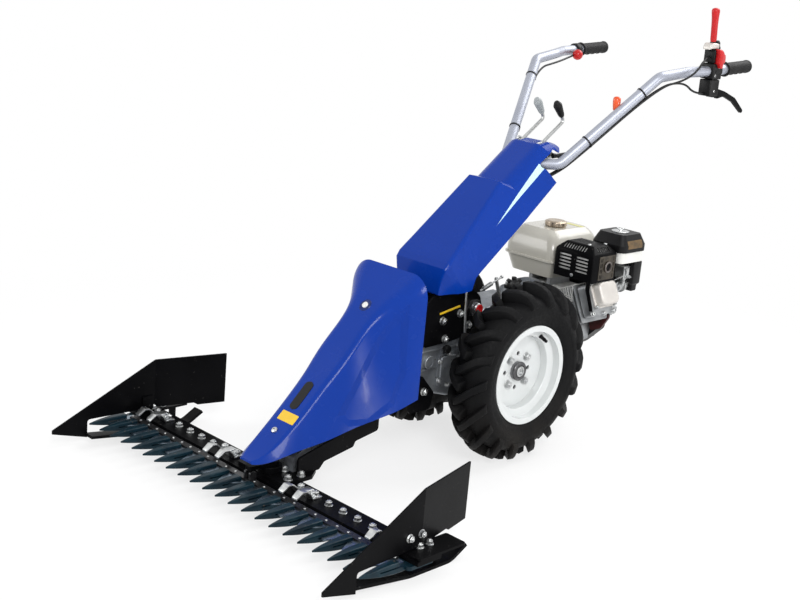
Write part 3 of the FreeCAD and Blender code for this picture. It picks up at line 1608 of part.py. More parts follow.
def cables():
    # Control cables that the handlebar carries. Each runs under its tube to the column.
    low, high = (Vector(*point) for point in tube_points()[1:3])
    direction = (high - low).normalize()
    across = Vector(direction.y, -direction.x, 0).normalize()
    below = across.cross(direction).normalize()
    if below.z > 0:
        below = -below
    radius = number(d.cable_radius)
    off = number(d.bar_tube) + radius + 0.1
    grip_y = number(d.grip_y)
    grip_z = number(d.grip_z)

    def under(share, shift):
        spot = low + (high - low) * share + below * off + across * shift
        return (spot.x, spot.y, spot.z)

    def lower_part(shift):
        return [under(0.94, shift), under(0.1, shift), (72 + shift, 196, 776), (48 + shift, 158, 752)]

    runs = {
        "clutch_cable": [
            (264, grip_y + 14, grip_z - 62),
            (262, grip_y - 46, grip_z - 66),
            (255, grip_y - 100, grip_z - 29),
        ] + lower_part(-5),
        "safety_cable": [
            (264, grip_y + 11, grip_z + 46),
            (272, grip_y - 36, grip_z + 34),
            (280, grip_y - 76, grip_z + 2),
            (268, grip_y - 120, grip_z - 26),
        ] + lower_part(5),
        "throttle_cable": [
            (239, grip_y + 61.4, grip_z - 1),
            (234, grip_y + 10, grip_z - 12),
            (228, grip_y - 62, grip_z - 30),
        ] + lower_part(0),
    }
    for name, points in runs.items():
        if name == "throttle_cable":
            points = [(-x, y, z) for x, y, z in points]
        shape, length, bends = rod(points, radius)
        print(name, "length", round(length), "bends", [round(bend) for bend in bends])
        shaped(name, shape)


# heights and reaches of the knife, which the bar's pieces share
knife_low = d.beam_top - d.beam_thick + 0.2 + d.knife_gap
back_rear = d.beam_back + d.beam_width + 10
back_front = back_rear + d.back_width
knife_front = back_rear + d.section_length
knife_top = knife_low + d.section_thick + d.back_thick
arm_low = knife_top + 27
arm_pivot = d.beam_back + 32

wheel("left", LEFT)
wheel("right", RIGHT)
together("axle_housings", "left_axle_housing", "right_axle_housing")
gearbox()
bell_housing()
engine()
fuel_tank()
together("engine_crankcase", "engine_case", "tank_stays")
exhaust()
intake()
column()
together("steering_column", "column_post", "column_cover_stays")
column_cover()
gear_levers()
together("gear_levers", "lever_bracket", "grey_gear_lever", "black_gear_lever")
linkage()
together("selector", "selector_flange", "selector_cap")
front_cover()
mower_drive()
together("mower_gearbox", "mower_case", "mower_flange")
cutter_bar()
finger_guards()
knife()
hold_downs()
bar_bracket()
drive()
together("bar_bracket", "bar_saddle", "drive_head")
swath_board("left", LEFT)
swath_board("right", RIGHT)
together("left_skid", "left_runner", "left_shoe")
together("right_skid", "right_runner", "right_shoe")
handlebar()
grip("left", LEFT)
grip("right", RIGHT)
controls()
together("control_bracket", "control_clamp", "safety_lever_collar")
together("throttle_lever", "throttle_clamp", "throttle_ball")
orange_lever()
together("side_lever", "side_lever_clip", "side_lever_knob")
cables()
together("left_cables", "clutch_cable", "safety_cable")

doc.recompute()
for item in doc.Objects:
    if "Invalid" in item.State or "Error" in item.State:
        raise RuntimeError(f"{item.Label} failed: {item.State}")
os.makedirs("parts", exist_ok=True)
for item in pieces:
    if item.Shape.isNull() or not item.Shape.isValid():
        raise RuntimeError(f"{item.Label} has no valid shape")
    item.Shape.exportStep(f"parts/{item.Label}.step")
    box_ = item.Shape.BoundBox
    print(item.Label, len(item.Shape.Solids), round(item.Shape.Volume / 1000, 1), "cm3",
          [round(v) for v in (box_.XMin, box_.XMax, box_.YMin, box_.YMax, box_.ZMin, box_.ZMax)])
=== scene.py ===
import json
from math import cos, pi, radians, sin

import bmesh
import bpy
from mathutils import Matrix, Vector


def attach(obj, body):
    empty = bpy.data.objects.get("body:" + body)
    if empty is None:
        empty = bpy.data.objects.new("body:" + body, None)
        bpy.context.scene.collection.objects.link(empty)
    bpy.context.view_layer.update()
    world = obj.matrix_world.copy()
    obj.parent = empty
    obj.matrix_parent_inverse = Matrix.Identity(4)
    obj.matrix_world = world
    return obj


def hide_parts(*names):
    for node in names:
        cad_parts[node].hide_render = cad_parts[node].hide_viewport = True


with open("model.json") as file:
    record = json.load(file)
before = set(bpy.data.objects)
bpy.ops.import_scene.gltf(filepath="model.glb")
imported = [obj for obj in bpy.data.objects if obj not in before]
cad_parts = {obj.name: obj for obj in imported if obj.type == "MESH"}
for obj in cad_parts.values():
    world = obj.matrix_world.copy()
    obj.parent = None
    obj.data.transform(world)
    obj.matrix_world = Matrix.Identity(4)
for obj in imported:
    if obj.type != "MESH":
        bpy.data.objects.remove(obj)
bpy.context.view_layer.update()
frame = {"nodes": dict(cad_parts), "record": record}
nodes = frame["nodes"]
scene = bpy.context.scene
print("mower frame loaded:", len(nodes), "parts")

# camera and studio
cameraView = {"place": (2.28, -2.5608, 1.336), "turn": 44.1, "down": 15.08, "roll": 4.92, "lens": 57.66,
              "sensor": 36, "farthest": 200}
eye = bpy.data.objects.new("camera", bpy.data.cameras.new("camera"))
scene.collection.objects.link(eye)
eye.data.lens = cameraView["lens"]
eye.data.sensor_width = cameraView["sensor"]
eye.data.clip_end = cameraView["farthest"]
eye.matrix_world = (Matrix.Translation(cameraView["place"])
                    @ Matrix.Rotation(radians(cameraView["turn"]), 4, "Z")
                    @ Matrix.Rotation(radians(90 - cameraView["down"]), 4, "X")
                    @ Matrix.Rotation(radians(cameraView["roll"]), 4, "Z"))
scene.camera = eye

studio = {"aim": (0, 0, 0.45), "daylight": 0.55, "floorGlow": 0.72, "floorWhite": 0.9, "floorRough": 0.9,
          "floorSize": 60, "shadowReach": 1.0, "whiteFrom": 2.2}
studioLamps = {
    "frontKey": {"place": (3.4, -2.6, 3.2), "size": 2.0, "power": 140},
    "sideStrip": {"place": (3.5, 0.7, 0.95), "size": 0.55, "power": 22},
    "leftFill": {"place": (-3.2, -3.6, 2.2), "size": 3.0, "power": 75},
    "rearTop": {"place": (0.6, 3.0, 3.6), "size": 3.0, "power": 110},
}
for lampName, lamp in studioLamps.items():
    light = bpy.data.lights.new(lampName, "AREA")
    light.shape = "DISK"
    light.size = lamp["size"]
    light.energy = lamp["power"]
    holder = bpy.data.objects.new(lampName, light)
    scene.collection.objects.link(holder)
    holder.location = lamp["place"]
    aim = Vector(studio["aim"]) - Vector(lamp["place"])
    holder.rotation_euler = aim.to_track_quat("-Z", "Y").to_euler()
scene.view_settings.view_transform = "Standard"


# tools for node trees
def addNode(tree, kind, **values):
    node = tree.nodes.new(kind)
    for key, value in values.items():
        setattr(node, key, value)
    return node


def noiseOf(tree, coords, scale, detail, stretch=None):
    noise = addNode(tree, "ShaderNodeTexNoise")
    noise.inputs["Scale"].default_value = scale
    noise.inputs["Detail"].default_value = detail
    if stretch:
        mapping = addNode(tree, "ShaderNodeMapping")
        mapping.inputs["Scale"].default_value = stretch
        tree.links.new(coords, mapping.inputs["Vector"])
        coords = mapping.outputs[0]
    tree.links.new(coords, noise.inputs["Vector"])
    return noise.outputs["Fac"]


def between(tree, value, low, high, start=0.0, end=1.0):
    spread = addNode(tree, "ShaderNodeMapRange")
    for socket, number in (("From Min", low), ("From Max", high), ("To Min", start), ("To Max", end)):
        spread.inputs[socket].default_value = number
    tree.links.new(value, spread.inputs["Value"])
    return spread.outputs[0]


def blendColours(tree, amount, first, second):
    mix = addNode(tree, "ShaderNodeMix", data_type="RGBA")
    tree.links.new(amount, mix.inputs[0])
    for socket, colour in ((mix.inputs[6], first), (mix.inputs[7], second)):
        if isinstance(colour, tuple):
            socket.default_value = (*colour, 1)
        else:
            tree.links.new(colour, socket)
    return mix.outputs[2]


def combine(tree, operation, first, second):
    sums = addNode(tree, "ShaderNodeMath", operation=operation)
    tree.links.new(first, sums.inputs[0])
    tree.links.new(second, sums.inputs[1])
    return sums


def seenDirectly(tree):  # 1 for what the camera sees, also by a reflection or through glass
    rays = addNode(tree, "ShaderNodeLightPath").outputs
    either = combine(tree, "MAXIMUM", rays["Is Camera Ray"], rays["Is Glossy Ray"])
    return combine(tree, "MAXIMUM", either.outputs[0], rays["Is Transmission Ray"]).outputs[0]


def whiteLight(tree, kind, strength):
    node = addNode(tree, kind)
    node.inputs["Color"].default_value = (1, 1, 1, 1)
    node.inputs["Strength"].default_value = strength
    return node


def mixInto(tree, share, plain, white, surface):
    mix = addNode(tree, "ShaderNodeMixShader")
    for source, socket in ((share, mix.inputs["Fac"]), (plain.outputs[0], mix.inputs[1]),
                           (white.outputs[0], mix.inputs[2]), (mix.outputs[0], surface)):
        tree.links.new(source, socket)


world = bpy.data.worlds.new("studioAir")
world.use_nodes = True
scene.world = world
air = world.node_tree
daylight = air.nodes["Background"]
daylight.inputs["Color"].default_value = (1, 1, 1, 1)
daylight.inputs["Strength"].default_value = studio["daylight"]
mixInto(air, seenDirectly(air), daylight, whiteLight(air, "ShaderNodeBackground", 1.0),
        air.nodes["World Output"].inputs["Surface"])

bpy.ops.object.select_all(action="DESELECT")
bpy.ops.mesh.primitive_plane_add(size=studio["floorSize"], location=(0, 0, 0))
floor = bpy.context.object
floor.name = "studioFloor"
floorPaint = bpy.data.materials.new("floorPaint")
floorPaint.use_nodes = True
floorTree = floorPaint.node_tree
floorShader = floorTree.nodes["Principled BSDF"]
floorShader.inputs["Base Color"].default_value = (*[studio["floorWhite"]] * 3, 1)
floorShader.inputs["Roughness"].default_value = studio["floorRough"]
reach = addNode(floorTree, "ShaderNodeVectorMath", operation="LENGTH")
floorTree.links.new(addNode(floorTree, "ShaderNodeTexCoord").outputs["Object"], reach.inputs[0])
fade = between(floorTree, reach.outputs["Value"], studio["shadowReach"], studio["whiteFrom"],
               studio["floorGlow"], 1.0)  # far from the machine the floor is plain white
share = combine(floorTree, "MULTIPLY", seenDirectly(floorTree), fade)
mixInto(floorTree, share.outputs[0], floorShader, whiteLight(floorTree, "ShaderNodeEmission", 1.0),
        floorTree.nodes["Material Output"].inputs["Surface"])
floor.data.materials.append(floorPaint)
print("studio ready")

# finishes: each reads the object's own coordinates
finishRules = {"patches": (0.32, 0.68), "patchDetail": 5.0, "speckDetail": 2.0, "speckFade": 0.06,
               "cloudScale": 14.0, "cloudDetail": 6.0, "clouds": (0.35, 0.7), "grain": (0.25, 0.75),
               "grainDetail": 3.0, "deep": 0.0004, "coatRough": 0.08, "shine": 0.5}


def makeFinish(name, look):
    material = bpy.data.materials.new(name)
    material.use_nodes = True
    tree = material.node_tree
    shader = tree.nodes["Principled BSDF"]
    coords = addNode(tree, "ShaderNodeTexCoord").outputs["Object"]
    patches = noiseOf(tree, coords, look["patch"], finishRules["patchDetail"], look.get("stretch"))
    colour = blendColours(tree, between(tree, patches, *finishRules["patches"]), look["base"],
                          look["shade"])
    if "specks" in look:  # small chips, pores or swarf in another tone
        scale, start, tone = look["specks"]
        dots = noiseOf(tree, coords, scale, finishRules["speckDetail"])
        spread = between(tree, dots, start, start + finishRules["speckFade"])
        colour = blendColours(tree, spread, colour, tone)
    if "dust" in look:  # dry soil that thins out with height
        top, amount, tone = look["dust"]
        heights = addNode(tree, "ShaderNodeSeparateXYZ")
        tree.links.new(coords, heights.inputs[0])
        low = between(tree, heights.outputs["Z"], top, 0.0, 0.0, amount)
        clouds = noiseOf(tree, coords, finishRules["cloudScale"], finishRules["cloudDetail"])
        soiled = combine(tree, "MULTIPLY", low, between(tree, clouds, *finishRules["clouds"]))
        colour = blendColours(tree, soiled.outputs[0], colour, tone)
    tree.links.new(colour, shader.inputs["Base Color"])
    fine = noiseOf(tree, coords, look["grain"], finishRules["grainDetail"], look.get("stretch"))
    tree.links.new(between(tree, fine, *finishRules["grain"], *look["rough"]), shader.inputs["Roughness"])
    bump = addNode(tree, "ShaderNodeBump")
    bump.inputs["Strength"].default_value = look["bump"]
    bump.inputs["Distance"].default_value = look.get("deep", finishRules["deep"])
    tree.links.new(fine, bump.inputs["Height"])
    tree.links.new(bump.outputs[0], shader.inputs["Normal"])
    shader.inputs["Metallic"].default_value = look.get("metal", 0.0)
    shader.inputs["Coat Weight"].default_value = look.get("coat", 0.0)
    shader.inputs["Coat Roughness"].default_value = look.get("coatRough", finishRules["coatRough"])
    shader.inputs["Specular IOR Level"].default_value = look.get("shine", finishRules["shine"])
    return material


soil = (0.16, 0.13, 0.1)
# colours in patches, their size, the grain's, how rough and how bumped; specks: scale, start and tone;
# dust: top, amount and tone
finishes = {
    "tyreRubber": {"base": (0.0024, 0.0025, 0.003), "shade": (0.0055, 0.0055, 0.0058), "patch": 9.0,
        "grain": 160.0, "rough": (0.46, 0.74), "bump": 0.25, "shine": 0.1, "dust": (0.24, 0.07, soil)},
    "whitePaint": {"base": (0.64, 0.66, 0.66), "shade": (0.6, 0.62, 0.615), "patch": 4.0, "grain": 50.0,
        "rough": (0.14, 0.24), "bump": 0.02, "coat": 0.3, "specks": (140.0, 0.78, (0.45, 0.44, 0.42))},
    "turnedSteel": {"base": (0.36, 0.36, 0.37), "shade": (0.2, 0.2, 0.21), "patch": 30.0, "grain": 320.0,
        "rough": (0.26, 0.48), "bump": 0.12, "metal": 1.0},
    "castGearbox": {"base": (0.3, 0.32, 0.34), "shade": (0.17, 0.18, 0.2), "patch": 16.0, "grain": 420.0,
        "rough": (0.42, 0.66), "bump": 0.5, "metal": 0.75, "specks": (120.0, 0.66, (0.08, 0.07, 0.06))},
    "castEngine": {"base": (0.44, 0.45, 0.46), "shade": (0.26, 0.27, 0.28), "patch": 20.0, "grain": 380.0,
        "rough": (0.36, 0.58), "bump": 0.35, "metal": 0.8},
    "silverPaint": {"base": (0.78, 0.77, 0.75), "shade": (0.66, 0.65, 0.64), "patch": 12.0, "grain": 240.0,
        "rough": (0.28, 0.44), "bump": 0.1, "metal": 0.25},
    "powderBlack": {"base": (0.0016, 0.0016, 0.002), "shade": (0.004, 0.004, 0.0046), "patch": 8.0,
        "grain": 520.0, "rough": (0.3, 0.46), "bump": 0.2, "shine": 0.05,
        "specks": (150.0, 0.72, (0.07, 0.066, 0.062))},
    "tankEnamel": {"base": (0.5, 0.485, 0.43), "shade": (0.45, 0.435, 0.385), "patch": 5.0, "grain": 40.0,
        "rough": (0.16, 0.26), "bump": 0.03, "coat": 0.3},
    "capBronze": {"base": (0.5, 0.42, 0.32), "shade": (0.34, 0.28, 0.22), "patch": 26.0, "grain": 260.0,
        "rough": (0.22, 0.38), "bump": 0.08, "metal": 1.0},
    "heatedSteel": {"base": (0.22, 0.2, 0.19), "shade": (0.12, 0.1, 0.09), "patch": 22.0, "grain": 260.0,
        "rough": (0.4, 0.62), "bump": 0.2, "metal": 0.9},
    "blackPlastic": {"base": (0.0026, 0.0026, 0.003), "shade": (0.0065, 0.0065, 0.007), "patch": 10.0,
        "grain": 600.0, "rough": (0.34, 0.5), "bump": 0.16, "shine": 0.2},
    "whitePlastic": {"base": (0.74, 0.74, 0.71), "shade": (0.66, 0.66, 0.63), "patch": 14.0, "grain": 300.0,
        "rough": (0.34, 0.5), "bump": 0.06},
    "blueCover": {"base": (0.0012, 0.035, 0.3), "shade": (0.001, 0.03, 0.26), "patch": 3.0, "grain": 26.0,
        "rough": (0.2, 0.3), "bump": 0.035, "deep": 0.0012, "shine": 0.1, "coat": 0.15, "coatRough": 0.05},
    "greyPlastic": {"base": (0.34, 0.37, 0.38), "shade": (0.28, 0.3, 0.31), "patch": 30.0, "grain": 420.0,
        "rough": (0.3, 0.46), "bump": 0.08},
    "fingerSteel": {"base": (0.0012, 0.009, 0.016), "shade": (0.005, 0.024, 0.036), "patch": 26.0,
        "grain": 240.0, "rough": (0.26, 0.44), "bump": 0.12, "metal": 0.1, "shine": 0.22,
        "specks": (90.0, 0.7, (0.07, 0.06, 0.05))},
    "bladeSteel": {"base": (0.3, 0.36, 0.42), "shade": (0.16, 0.21, 0.26), "patch": 34.0, "grain": 300.0,
        "rough": (0.22, 0.4), "bump": 0.12, "metal": 1.0, "stretch": (1.0, 7.0, 1.0)},
    "zincPlate": {"base": (0.64, 0.65, 0.64), "shade": (0.4, 0.41, 0.42), "patch": 70.0, "grain": 260.0,
        "rough": (0.26, 0.46), "bump": 0.1, "metal": 1.0},
    "tubeSilver": {"base": (0.4, 0.42, 0.48), "shade": (0.35, 0.37, 0.43), "patch": 12.0, "grain": 30.0,
        "rough": (0.4, 0.46), "bump": 0.005, "metal": 0.6},
    "gripRubber": {"base": (0.004, 0.004, 0.0045), "shade": (0.009, 0.009, 0.0095), "patch": 30.0,
        "grain": 420.0, "rough": (0.5, 0.7), "bump": 0.3, "shine": 0.3},
    "redPlastic": {"base": (0.52, 0.01, 0.012), "shade": (0.44, 0.008, 0.01), "patch": 18.0, "grain": 60.0,
        "rough": (0.28, 0.38), "bump": 0.02, "shine": 0.3, "coat": 0.1},
    "orangePlastic": {"base": (0.72, 0.085, 0.012), "shade": (0.64, 0.07, 0.01), "patch": 24.0,
        "grain": 60.0, "rough": (0.26, 0.36), "bump": 0.02, "coat": 0.15},
    "blueDeep": {"base": (0.003, 0.018, 0.13), "shade": (0.002, 0.014, 0.1), "patch": 20.0, "grain": 120.0,
        "rough": (0.24, 0.36), "bump": 0.05, "shine": 0.25},
    "labelYellow": {"base": (0.78, 0.5, 0.02), "shade": (0.7, 0.44, 0.018), "patch": 40.0, "grain": 300.0,
        "rough": (0.3, 0.42), "bump": 0.04},
    "labelPale": {"base": (0.62, 0.6, 0.2), "shade": (0.56, 0.54, 0.2), "patch": 40.0, "grain": 300.0,
        "rough": (0.3, 0.42), "bump": 0.04},
    "labelBrown": {"base": (0.2, 0.12, 0.045), "shade": (0.09, 0.06, 0.03), "patch": 60.0, "grain": 300.0,
        "rough": (0.28, 0.42), "bump": 0.05, "metal": 0.4},
    "bronzedSheet": {"base": (0.075, 0.062, 0.045), "shade": (0.035, 0.03, 0.024), "patch": 70.0,
        "grain": 260.0, "rough": (0.34, 0.5), "bump": 0.15, "metal": 0.6},
    "guardRed": {"base": (0.06, 0.008, 0.008), "shade": (0.025, 0.006, 0.006), "patch": 40.0,
        "grain": 260.0, "rough": (0.3, 0.46), "bump": 0.12, "shine": 0.3},
    "rockerPaint": {"base": (0.66, 0.63, 0.59), "shade": (0.56, 0.53, 0.5), "patch": 16.0, "grain": 240.0,
        "rough": (0.36, 0.5), "bump": 0.08, "metal": 0.3},
    "jacketAlloy": {"base": (0.72, 0.72, 0.7), "shade": (0.56, 0.56, 0.55), "patch": 40.0, "grain": 260.0,
        "rough": (0.4, 0.55), "bump": 0.08, "metal": 0.2},
    "darkHub": {"base": (0.14, 0.14, 0.145), "shade": (0.06, 0.06, 0.062), "patch": 70.0, "grain": 260.0,
        "rough": (0.26, 0.42), "bump": 0.12, "metal": 0.8},
    "brightRod": {"base": (0.55, 0.56, 0.55), "shade": (0.46, 0.47, 0.47), "patch": 60.0, "grain": 300.0,
        "rough": (0.22, 0.34), "bump": 0.04, "metal": 0.9},
    "oiledSteel": {"base": (0.05, 0.05, 0.052), "shade": (0.022, 0.022, 0.024), "patch": 60.0,
        "grain": 260.0, "rough": (0.24, 0.42), "bump": 0.12, "metal": 0.7},
    "cableBlack": {"base": (0.006, 0.006, 0.0065), "shade": (0.012, 0.012, 0.0125), "patch": 40.0,
        "grain": 500.0, "rough": (0.34, 0.5), "bump": 0.12, "shine": 0.3},
}
coats = {name: makeFinish(name, look) for name, look in finishes.items()}

finishOfSlot = {
    "tyre_rubber": "tyreRubber", "white_paint": "whitePaint", "steel": "turnedSteel",
    "gearbox_alloy": "castGearbox", "engine_alloy": "castEngine", "silver_paint": "silverPaint",
    "black_paint": "powderBlack", "tank_white": "tankEnamel", "cap_metal": "capBronze",
    "exhaust_metal": "heatedSteel", "black_plastic": "blackPlastic", "white_plastic": "whitePlastic",
    "blue_cover": "blueCover", "grey_plastic": "greyPlastic", "finger_steel": "fingerSteel",
    "blade_steel": "bladeSteel", "zinc": "zincPlate", "tube_silver": "tubeSilver",
    "grip_rubber": "gripRubber", "red_plastic": "redPlastic", "orange_plastic": "orangePlastic",
    "cable_black": "cableBlack",
}
finishOfPart = {"engine_guard": "guardRed", "gear_levers": "brightRod", "knife_back": "oiledSteel"}
slotOfPart = {part["node"]: part["material_slot"] for part in frame["record"]["subparts"]}
for name, item in nodes.items():
    for slot in item.material_slots:
        slot.material = coats[finishOfPart.get(name, finishOfSlot[slotOfPart[name]])]
print("finishes ready:", len(coats))


# shaping tools: everything is deselected first, then corners, edges or faces are picked by place
def block(name, low, high):
    bpy.ops.object.select_all(action="DESELECT")
    bpy.ops.mesh.primitive_cube_add(size=1, location=(Vector(low) + Vector(high)) / 2)
    piece = bpy.context.object
    piece.name = name
    piece.scale = Vector(high) - Vector(low)
    bpy.ops.object.transform_apply(location=True, rotation=True, scale=True)
    return piece


def pick(piece, kind, test):
    if piece.mode != "EDIT":
        bpy.ops.object.mode_set(mode="EDIT")
    bpy.ops.mesh.select_mode(type=kind)
    bpy.ops.mesh.select_all(action="DESELECT")
    shape = bmesh.from_edit_mesh(piece.data)
    for item in {"VERT": shape.verts, "EDGE": shape.edges, "FACE": shape.faces}[kind]:
        corners = [item.co] if kind == "VERT" else [corner.co for corner in item.verts]
        if test(sum(corners, Vector()) / len(corners), item):
            item.select_set(True)
    shape.select_flush_mode()
    bmesh.update_edit_mesh(piece.data)


def faceOut(piece, way, only=None):  # the faces that look one way
    pick(piece, "FACE", lambda middle, face: face.normal.dot(Vector(way)) > 0.9
         and (only is None or only(middle)))


def bevelAlong(piece, axis, longerThan, width, segments):  # the edges that run along one axis
    pick(piece, "EDGE", lambda middle, edge:
         abs(edge.verts[0].co[axis] - edge.verts[1].co[axis]) > longerThan)
    bpy.ops.mesh.bevel(offset=width, segments=segments, affect="EDGES")


def bevelBeyond(piece, axis, limit, width, segments):  # the edges that lie past a plane
    pick(piece, "EDGE", lambda middle, edge: middle[axis] > limit)
    bpy.ops.mesh.bevel(offset=width, segments=segments, affect="EDGES")


def pullOut(step, scale=(1, 1, 1), about=None):
    bpy.ops.mesh.extrude_region_move(TRANSFORM_OT_translate={"value": step})
    if scale != (1, 1, 1):
        bpy.ops.transform.resize(value=scale, center_override=about)


def softenEdges(piece, width, segments, sharpest):
    pick(piece, "EDGE", lambda middle, edge: len(edge.link_faces) == 2
         and edge.calc_face_angle(0) > radians(sharpest))
    bpy.ops.mesh.bevel(offset=width, segments=segments, affect="EDGES")


def cleanShape(piece):
    if piece.mode != "EDIT":
        bpy.context.view_layer.objects.active = piece
        bpy.ops.object.mode_set(mode="EDIT")
    bpy.ops.mesh.select_all(action="SELECT")
    bpy.ops.mesh.remove_doubles(threshold=0.00001)
    bpy.ops.mesh.normals_make_consistent(inside=False)
    bpy.ops.object.mode_set(mode="OBJECT")


def rounded(piece, width, segments=2, sharpest=30):
    softenEdges(piece, width, segments, sharpest)
    cleanShape(piece)
    return piece


def panelIn(piece, way, *insets):  # a raised or sunk field, each inset a width and a depth
    faceOut(piece, way)
    for width, depth in insets:
        bpy.ops.mesh.inset(thickness=width, depth=depth)


def drawOut(piece, way, steps, about, only=None):  # faces pulled out and scaled step by step
    faceOut(piece, way, only)
    for move, scale in steps:
        pullOut(move, scale, about)


def drawnBar(name, form):  # a block with its ends drawn out and its edges rounded
    bar = block(name, form["low"], form["high"])
    for pull in form.get("pulls", []):
        drawOut(bar, *pull)
    return rounded(bar, *form["soft"])


def turned(name, steps, sides):  # a round part about +Z, each step a radius and a height
    radius, height = steps[0]
    bpy.ops.object.select_all(action="DESELECT")
    bpy.ops.mesh.primitive_circle_add(vertices=sides, radius=radius, fill_type="NGON",
                                      location=(0, 0, height))
    piece = bpy.context.object
    piece.name = name
    bpy.ops.object.transform_apply(location=True, rotation=True, scale=True)
    bpy.ops.object.mode_set(mode="EDIT")
    bpy.ops.mesh.select_all(action="SELECT")
    for nextRadius, nextHeight in steps[1:]:
        share = nextRadius / radius
        pullOut((0, 0, nextHeight - height), (share, share, 1), (0, 0, nextHeight))
        radius, height = nextRadius, nextHeight
    cleanShape(piece)
    return piece


def setDown(piece, place):  # the mesh itself moves, and the object stays at the origin
    bpy.ops.object.select_all(action="DESELECT")
    piece.select_set(True)
    bpy.context.view_layer.objects.active = piece
    piece.matrix_world = place
    bpy.ops.object.transform_apply(location=True, rotation=True, scale=True)
    return piece


def standing(point, normal=(0, 0, 1), turn=0.0):
    upright = Vector(normal).to_track_quat("Z", "Y").to_matrix().to_4x4()
    return Matrix.Translation(point) @ upright @ Matrix.Rotation(turn, 4, "Z")


def roundPart(name, form, place=None):  # turned, and set down where its dictionary says
    piece = turned(name, form["steps"], form["sides"])
    return setDown(piece, standing(form["at"], form.get("facing", (0, 0, 1))) if place is None else place)


def joined(name, parts):
    bpy.ops.object.select_all(action="DESELECT")
    for part in parts:
        part.select_set(True)
    bpy.context.view_layer.objects.active = parts[0]
    if len(parts) > 1:
        bpy.ops.object.join()
    parts[0].name = name
    return parts[0]


def repeated(sample, name, places):  # one modelled part, copied to each place
    copies = []
    for place in places:
        twin = bpy.data.objects.new(name, sample.data.copy())
        twin.data.transform(place)
        if place.determinant() < 0:
            twin.data.flip_normals()
        scene.collection.objects.link(twin)
        copies.append(twin)
    bpy.data.objects.remove(sample)
    return joined(name, copies)


def complete(piece, slotName, bodyName="chassis", finish=None, smooth=35):
    bpy.ops.object.select_all(action="DESELECT")
    piece.select_set(True)
    bpy.context.view_layer.objects.active = piece
    bpy.ops.object.shade_smooth_by_angle(angle=radians(smooth))
    piece.data.materials.clear()
    piece.data.materials.append(coats[finish or finishOfSlot[slotName]])
    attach(piece, bodyName)
    return piece


def onSkin(nodeName, point):
    found = nodes[nodeName].closest_point_on_mesh(Vector(point))
    return found[1], found[2]


def castOn(nodeName, start, direction):  # where a straight line first meets a part
    met, spot, normal, _ = nodes[nodeName].ray_cast(Vector(start), Vector(direction))
    return (spot, normal) if met else (None, None)


def landing(nodeName, start, direction, turn=0.0, square=0.0):  # a place on a part, or none
    spot, normal = castOn(nodeName, start, direction)
    if spot is None or -normal.dot(Vector(direction)) <= square:
        return []
    return [standing(spot, normal, turn)]


# control cables, which run free from the levers to the column
cables = {
    "clutchCable": {
        "route": [(0.264, 0.7162, 1.021), (0.262, 0.6562, 1.017), (0.255, 0.6022, 1.054),
                  (0.2176, 0.5257, 1.0334), (0.1118, 0.319, 0.8183), (0.067, 0.2962, 0.776),
                  (0.043, 0.2582, 0.752)],
        "length": 0.637, "standsFor": "left_cables"},
    "safetyCable": {
        "route": [(0.264, 0.7132, 1.129), (0.272, 0.6662, 1.117), (0.28, 0.6262, 1.085),
                  (0.268, 0.5822, 1.057), (0.2265, 0.5211, 1.0334), (0.1207, 0.3145, 0.8183),
                  (0.077, 0.2962, 0.776), (0.053, 0.2582, 0.752)],
        "length": 0.658, "standsFor": "left_cables"},
    "throttleCable": {
        "route": [(-0.239, 0.7636, 1.082), (-0.234, 0.7122, 1.071), (-0.228, 0.6402, 1.053),
                  (-0.222, 0.5234, 1.0334), (-0.1162, 0.3167, 0.8183), (-0.072, 0.2962, 0.776),
                  (-0.048, 0.2582, 0.752)],
        "length": 0.671, "standsFor": "throttle_cable"},
}
cableSkin = {"thick": 0.006, "roundness": 4, "fineness": 14}
for cableName, cable in cables.items():
    line = bpy.data.curves.new(cableName, "CURVE")
    line.dimensions = "3D"
    line.bevel_depth = cableSkin["thick"] / 2
    line.bevel_resolution = cableSkin["roundness"]
    line.resolution_u = cableSkin["fineness"]
    line.use_fill_caps = True
    spline = line.splines.new("NURBS")
    spline.points.add(len(cable["route"]) - 1)
    for knot, spot in zip(spline.points, cable["route"]):
        knot.co = (*spot, 1)
    spline.order_u = 3
    spline.use_endpoint_u = True
    cord = bpy.data.objects.new(cableName, line)
    scene.collection.objects.link(cord)
    line.materials.append(coats["cableBlack"])
    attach(cord, "handlebar")
    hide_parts(cable["standsFor"])
print("control cables ready")

